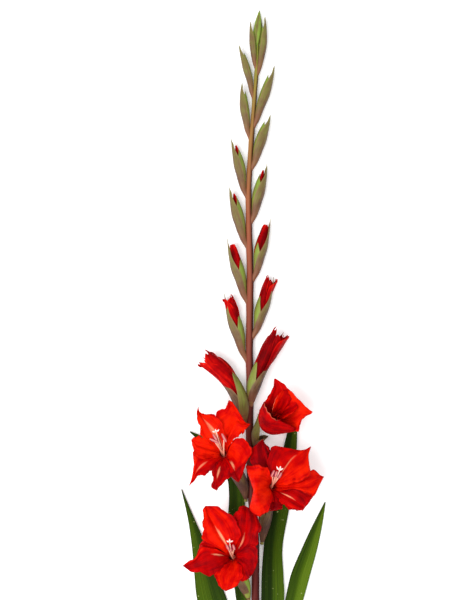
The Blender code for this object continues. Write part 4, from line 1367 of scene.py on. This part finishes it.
# The thirteen closed buds, up to the spike's tip. Each is a red spindle of folded petals between
# an outer bract, brown-olive, and a greener inner one. The lower buds show red where the bracts
# part; the upper ones are still shut.
# Up to the tenth bud the petals are full and blunt, and past the thirteenth none show red.
LAST_BLUNT_BUD = 10
LAST_RED_BUD = 13
# A bud is its length, its tip's distance from the stem's middle, its width, where its bracts
# part, and its inner bract's and petals' length as shares of its own.
CLOSED_BUDS = {
    7: (82.8, 27.4, 17.2, 0.50, 0.78, 0.98),
    8: (74.0, 25.6, 17.0, 0.48, 0.80, 1.03),
    9: (78.8, 23.6, 16.2, 0.53, 0.78, 0.94),
    10: (77.6, 23.4, 15.8, 0.50, 0.74, 0.92),
    11: (73.9, 20.8, 14.8, 0.70, 0.88, 0.92),
    12: (72.5, 18.8, 14.6, 0.72, 0.86, 0.93),
    13: (70.4, 21.6, 13.8, 0.72, 0.88, 0.92),
    14: (67.2, 19.0, 13.8, 0.84, 0.90, 0.80),
    15: (66.9, 14.6, 11.6, 0.82, 0.88, 0.78),
    16: (76.0, 19.6, 12.6, 0.82, 0.87, 0.78),
    17: (63.5, 20.4, 9.8, 0.86, 0.88, 0.78),
    18: (73.7, 7.0, 9.6, 0.84, 0.88, 0.78),
    19: (58.0, 9.6, 8.6, 0.84, 0.86, 0.78),
}
# The two lowest have rolled petals, told like the opening buds', and radii as shares of theirs.
RAGGED_BUDS = {
    7: ((70, 0.95, 100, 0.3), (190, 0.98, 95, 0.2), (310, 0.97, 95, 0.4), (120, 1.0, 60, -1.5)),
    8: ((85, 0.94, 100, 0.3), (205, 0.97, 95, 0.4), (325, 0.96, 95, 1.6), (130, 1.03, 60, -1.5)),
}
RAGGED_BUD_RADII = (0.12, 0.28, 0.50, 0.76, 0.90, 0.90, 0.82)
# Some buds lie over the stem or lean away from it, part from it at another share of their length
# than the others, or hold their petals' tip nearer to it than their bracts' tip.
OVER_STEM = {7: -0.5, 8: -0.5, 12: 0.3, 14: 0.5, 16: 0.6, 18: 1.4, 19: 1.2}
AWAY_FROM = {7: 0.36, 9: 0.38, 15: 0.32, 16: 0.3, 17: 0.25}
USUAL_AWAY_FROM = 0.42
BUD_STEM_GAP = 0.4
BUD_LAID_HEIGHT = 1.0
BLUNT_PETALS = 0.92
SLIM_PETALS = 0.74
PETAL_REACH_LESS = {7: 1.5, 8: 1.5, 9: 1.8, 10: 1.2, 11: 1.6, 12: 0.8, 13: 1.6}
BRACT_TIP = 1.035
BUD_BODY_PLACES = (0, 0.1, 0.2, 0.38, 0.55, 0.75, 0.9, 1)
BUD_BODY = (0.08, 0.24, 0.44, 0.80, 1.0, 0.78, 0.40, 0.04)
CLOSED_BUD_ROWS = 60
CLOSED_BUD_SIDES = 30
INNER_BRACT_TONES = (0.62, 0.95)
INNER_BRACT_BLUSH = 0.5
OUTER_BRACT_BLUSH = 0.8


def bud_body(t):
    """A closed bud's width along its length: a slender foot, the widest past the middle."""
    return smooth_curve(BUD_BODY_PLACES, BUD_BODY, t)


def closed_bud_path(number, length, reach, width, t):
    """Out of the stem, close beside it, and away from it towards the tip."""
    half = width / 2
    node_height = NODE_HEIGHTS[number - 1]
    height = node_height + length * t
    foot = stem_radius(node_height) + BUD_STEM_GAP
    over_stem = OVER_STEM.get(number, 0.0)
    inside = foot * (1 - 0.75 * (1 - ease(t / 0.22))) - over_stem
    away_from = AWAY_FROM.get(number, USUAL_AWAY_FROM)
    away = max(reach - foot, 1) * np.clip((t - away_from) / (1 - away_from), 0, 1) ** 1.75
    x = stem_x(height) + side_of(number) * (inside + (half - 0.6) * bud_body(t) + away)
    low = stem_z(node_height)
    laid = 0.8 * half + BUD_LAID_HEIGHT + over_stem
    z = low + (laid - low) * ease(t / 0.45)
    return np.stack([x, height_to_y(height), z], axis=-1)


def build_petal_spindle(number, node_name, path, body, half):
    """A ribbed, twisted spindle round the path, as thick as the body says, with a lobed tip."""
    t = np.linspace(0, 1, CLOSED_BUD_ROWS)[:, None]
    turns = full_turn(CLOSED_BUD_SIDES)
    if number <= LAST_BLUNT_BUD:
        body = BLUNT_PETALS * np.maximum(body, 0.95 * ease((t - 0.4) / 0.2))
    else:
        body = SLIM_PETALS * body
    end = np.clip(1 - np.clip((t - 0.62) / 0.38, 0, 1) ** 2.4, 0.0, 1) ** 0.6
    twisted = np.cos(3 * (turns + 2.6 * t))
    tip = ease((t - 0.8) / 0.2)
    lobes = tip * np.cos(3 * turns + 1.0)
    radius = ((half - 0.9) * body * end + 0.2) * (1 + 0.09 * twisted + 0.12 * lobes)
    points = around_path(path, (side_of(number), 0.0, 0.0), radius, turns, 0.9)
    points[..., 1] += 2.2 * lobes * (1 - ease((t - 0.97) / 0.03))
    if number > LAST_RED_BUD:
        finish, marks = bract_olive, dict(margin=0, foot=0)
    else:
        finish, marks = bud_red, dict(streak=0, rim=0)
    # Painted light and shade: the tone is lighter on the ridges of the twisted folds and towards
    # the lobed tip, and darker in the grooves.
    add_piece(
        f"{node_name}_petals", points, tube_faces(CLOSED_BUD_ROWS, CLOSED_BUD_SIDES), finish,
        node_name, along=0.3 + 0.7 * t, across=np.cos(3 * turns),
        tone=0.25 + 0.25 * twisted + 0.4 * tip, **marks,
    )


def build_bud_petals(number, node_name, bud):
    """Rolled petals with ragged ends on the two lowest buds, and a spindle on the others."""
    length, reach, width, _, _, petal_length = bud
    half = width / 2
    petal_reach = reach - PETAL_REACH_LESS.get(number, 0.0)
    if number in RAGGED_BUDS:
        t = petal_length * np.linspace(0.04, 1, BRACT_PATH_ROWS)
        build_rolled_petals(
            f"{node_name}_petal", node_name,
            closed_bud_path(number, length, petal_reach, width, t), side_of(number),
            (half - 0.7) * np.array(RAGGED_BUD_RADII), RAGGED_BUDS[number], 0.15,
        )
    else:
        t = petal_length * (0.06 + 0.94 * np.linspace(0, 1, CLOSED_BUD_ROWS))
        path = closed_bud_path(number, length, petal_reach, width, t)
        build_petal_spindle(number, node_name, path, bud_body(t)[:, None], half)


def build_bud_bracts(number, node_name, bud):
    """The outer bract is open on the stem's side from where the bracts part; the inner one fills
    that side and ends lower."""
    length, reach, width, part, inner_length, _ = bud
    half = width / 2
    rest = 1 - part
    upper_halves = (50, 36) if number <= LAST_BLUNT_BUD else (64, 52)
    u = np.linspace(0, 1, BRACT_ROWS)
    outer_wrap = (
        (0, 0, 168), (0.5 * part, 4, 126), (part, -4, 90),
        (part + 0.45 * rest, -8, upper_halves[0]), (part + 0.8 * rest, -10, upper_halves[1]),
        (1, -10, 0),
    )
    build_bract(
        f"{node_name}_outer_bract_boat", node_name,
        closed_bud_path(number, length, reach, width, BRACT_TIP * u), side_of(number),
        0.8 * (1 - u) + (half - 1.1) * bud_body(u) + 0.3 + 1.0 * u**4, outer_wrap,
        (0.12 if number <= LAST_RED_BUD else 0.24, 0.58), OUTER_BRACT_BLUSH,
    )
    t = u * inner_length
    meet = min(part / inner_length, 0.93)
    inner_wrap = (
        (0, 180, 150), (0.5 * meet, 180, 125), (meet, 180, 88),
        (meet + 0.5 * (1 - meet), 180, 50), (1, 180, 0),
    )
    build_bract(
        f"{node_name}_inner_bract_boat", node_name,
        closed_bud_path(number, length, reach, width, t), side_of(number),
        0.5 * (1 - u) + (half - 1.5) * bud_body(t) + 0.1, inner_wrap, INNER_BRACT_TONES,
        INNER_BRACT_BLUSH,
    )


for bud_number, bud in CLOSED_BUDS.items():
    build_bud_petals(bud_number, f"bud_{bud_number}", bud)
    build_bud_bracts(bud_number, f"bud_{bud_number}", bud)

# The end bud: the spike's green tip, a small spindle of young bracts folded over one another.
# It is the stem's own end, and grows on it.
END_BUD_LOW = (4.4, 402.0, 4.4)
END_BUD_HIGH = (7.2, 445.4, 3.4)
END_BUD_RADIUS = 5.0
END_BUD_FOLDS = 4
END_BUD_ROWS = 40
END_BUD_SIDES = 24


def build_end_bud():
    """A spindle between two ends, with folds round it."""
    t = np.linspace(0, 1, END_BUD_ROWS)[:, None]
    turns = full_turn(END_BUD_SIDES)
    path = np.array(END_BUD_LOW) + np.subtract(END_BUD_HIGH, END_BUD_LOW) * t
    folds = np.cos(END_BUD_FOLDS * turns + 3 * t)
    body = END_BUD_RADIUS * np.sin(math.pi * np.clip(t * 0.97 + 0.02, 0, 1) ** 0.8) ** 0.9
    points = around_path(path, (1.0, 0.0, 0.0), body * (1 + 0.12 * folds) + 0.15, turns)
    # Painted light and shade: the tone is lighter on the ridges of the folds and darker between
    # them.
    add_piece(
        "stem_end_bud", points, tube_faces(END_BUD_ROWS, END_BUD_SIDES), bract_olive, "stem",
        along=0.6 + 0.4 * t, across=np.cos(END_BUD_FOLDS * turns), margin=0,
        tone=0.75 + 0.25 * folds, foot=0,
    )


build_end_bud()
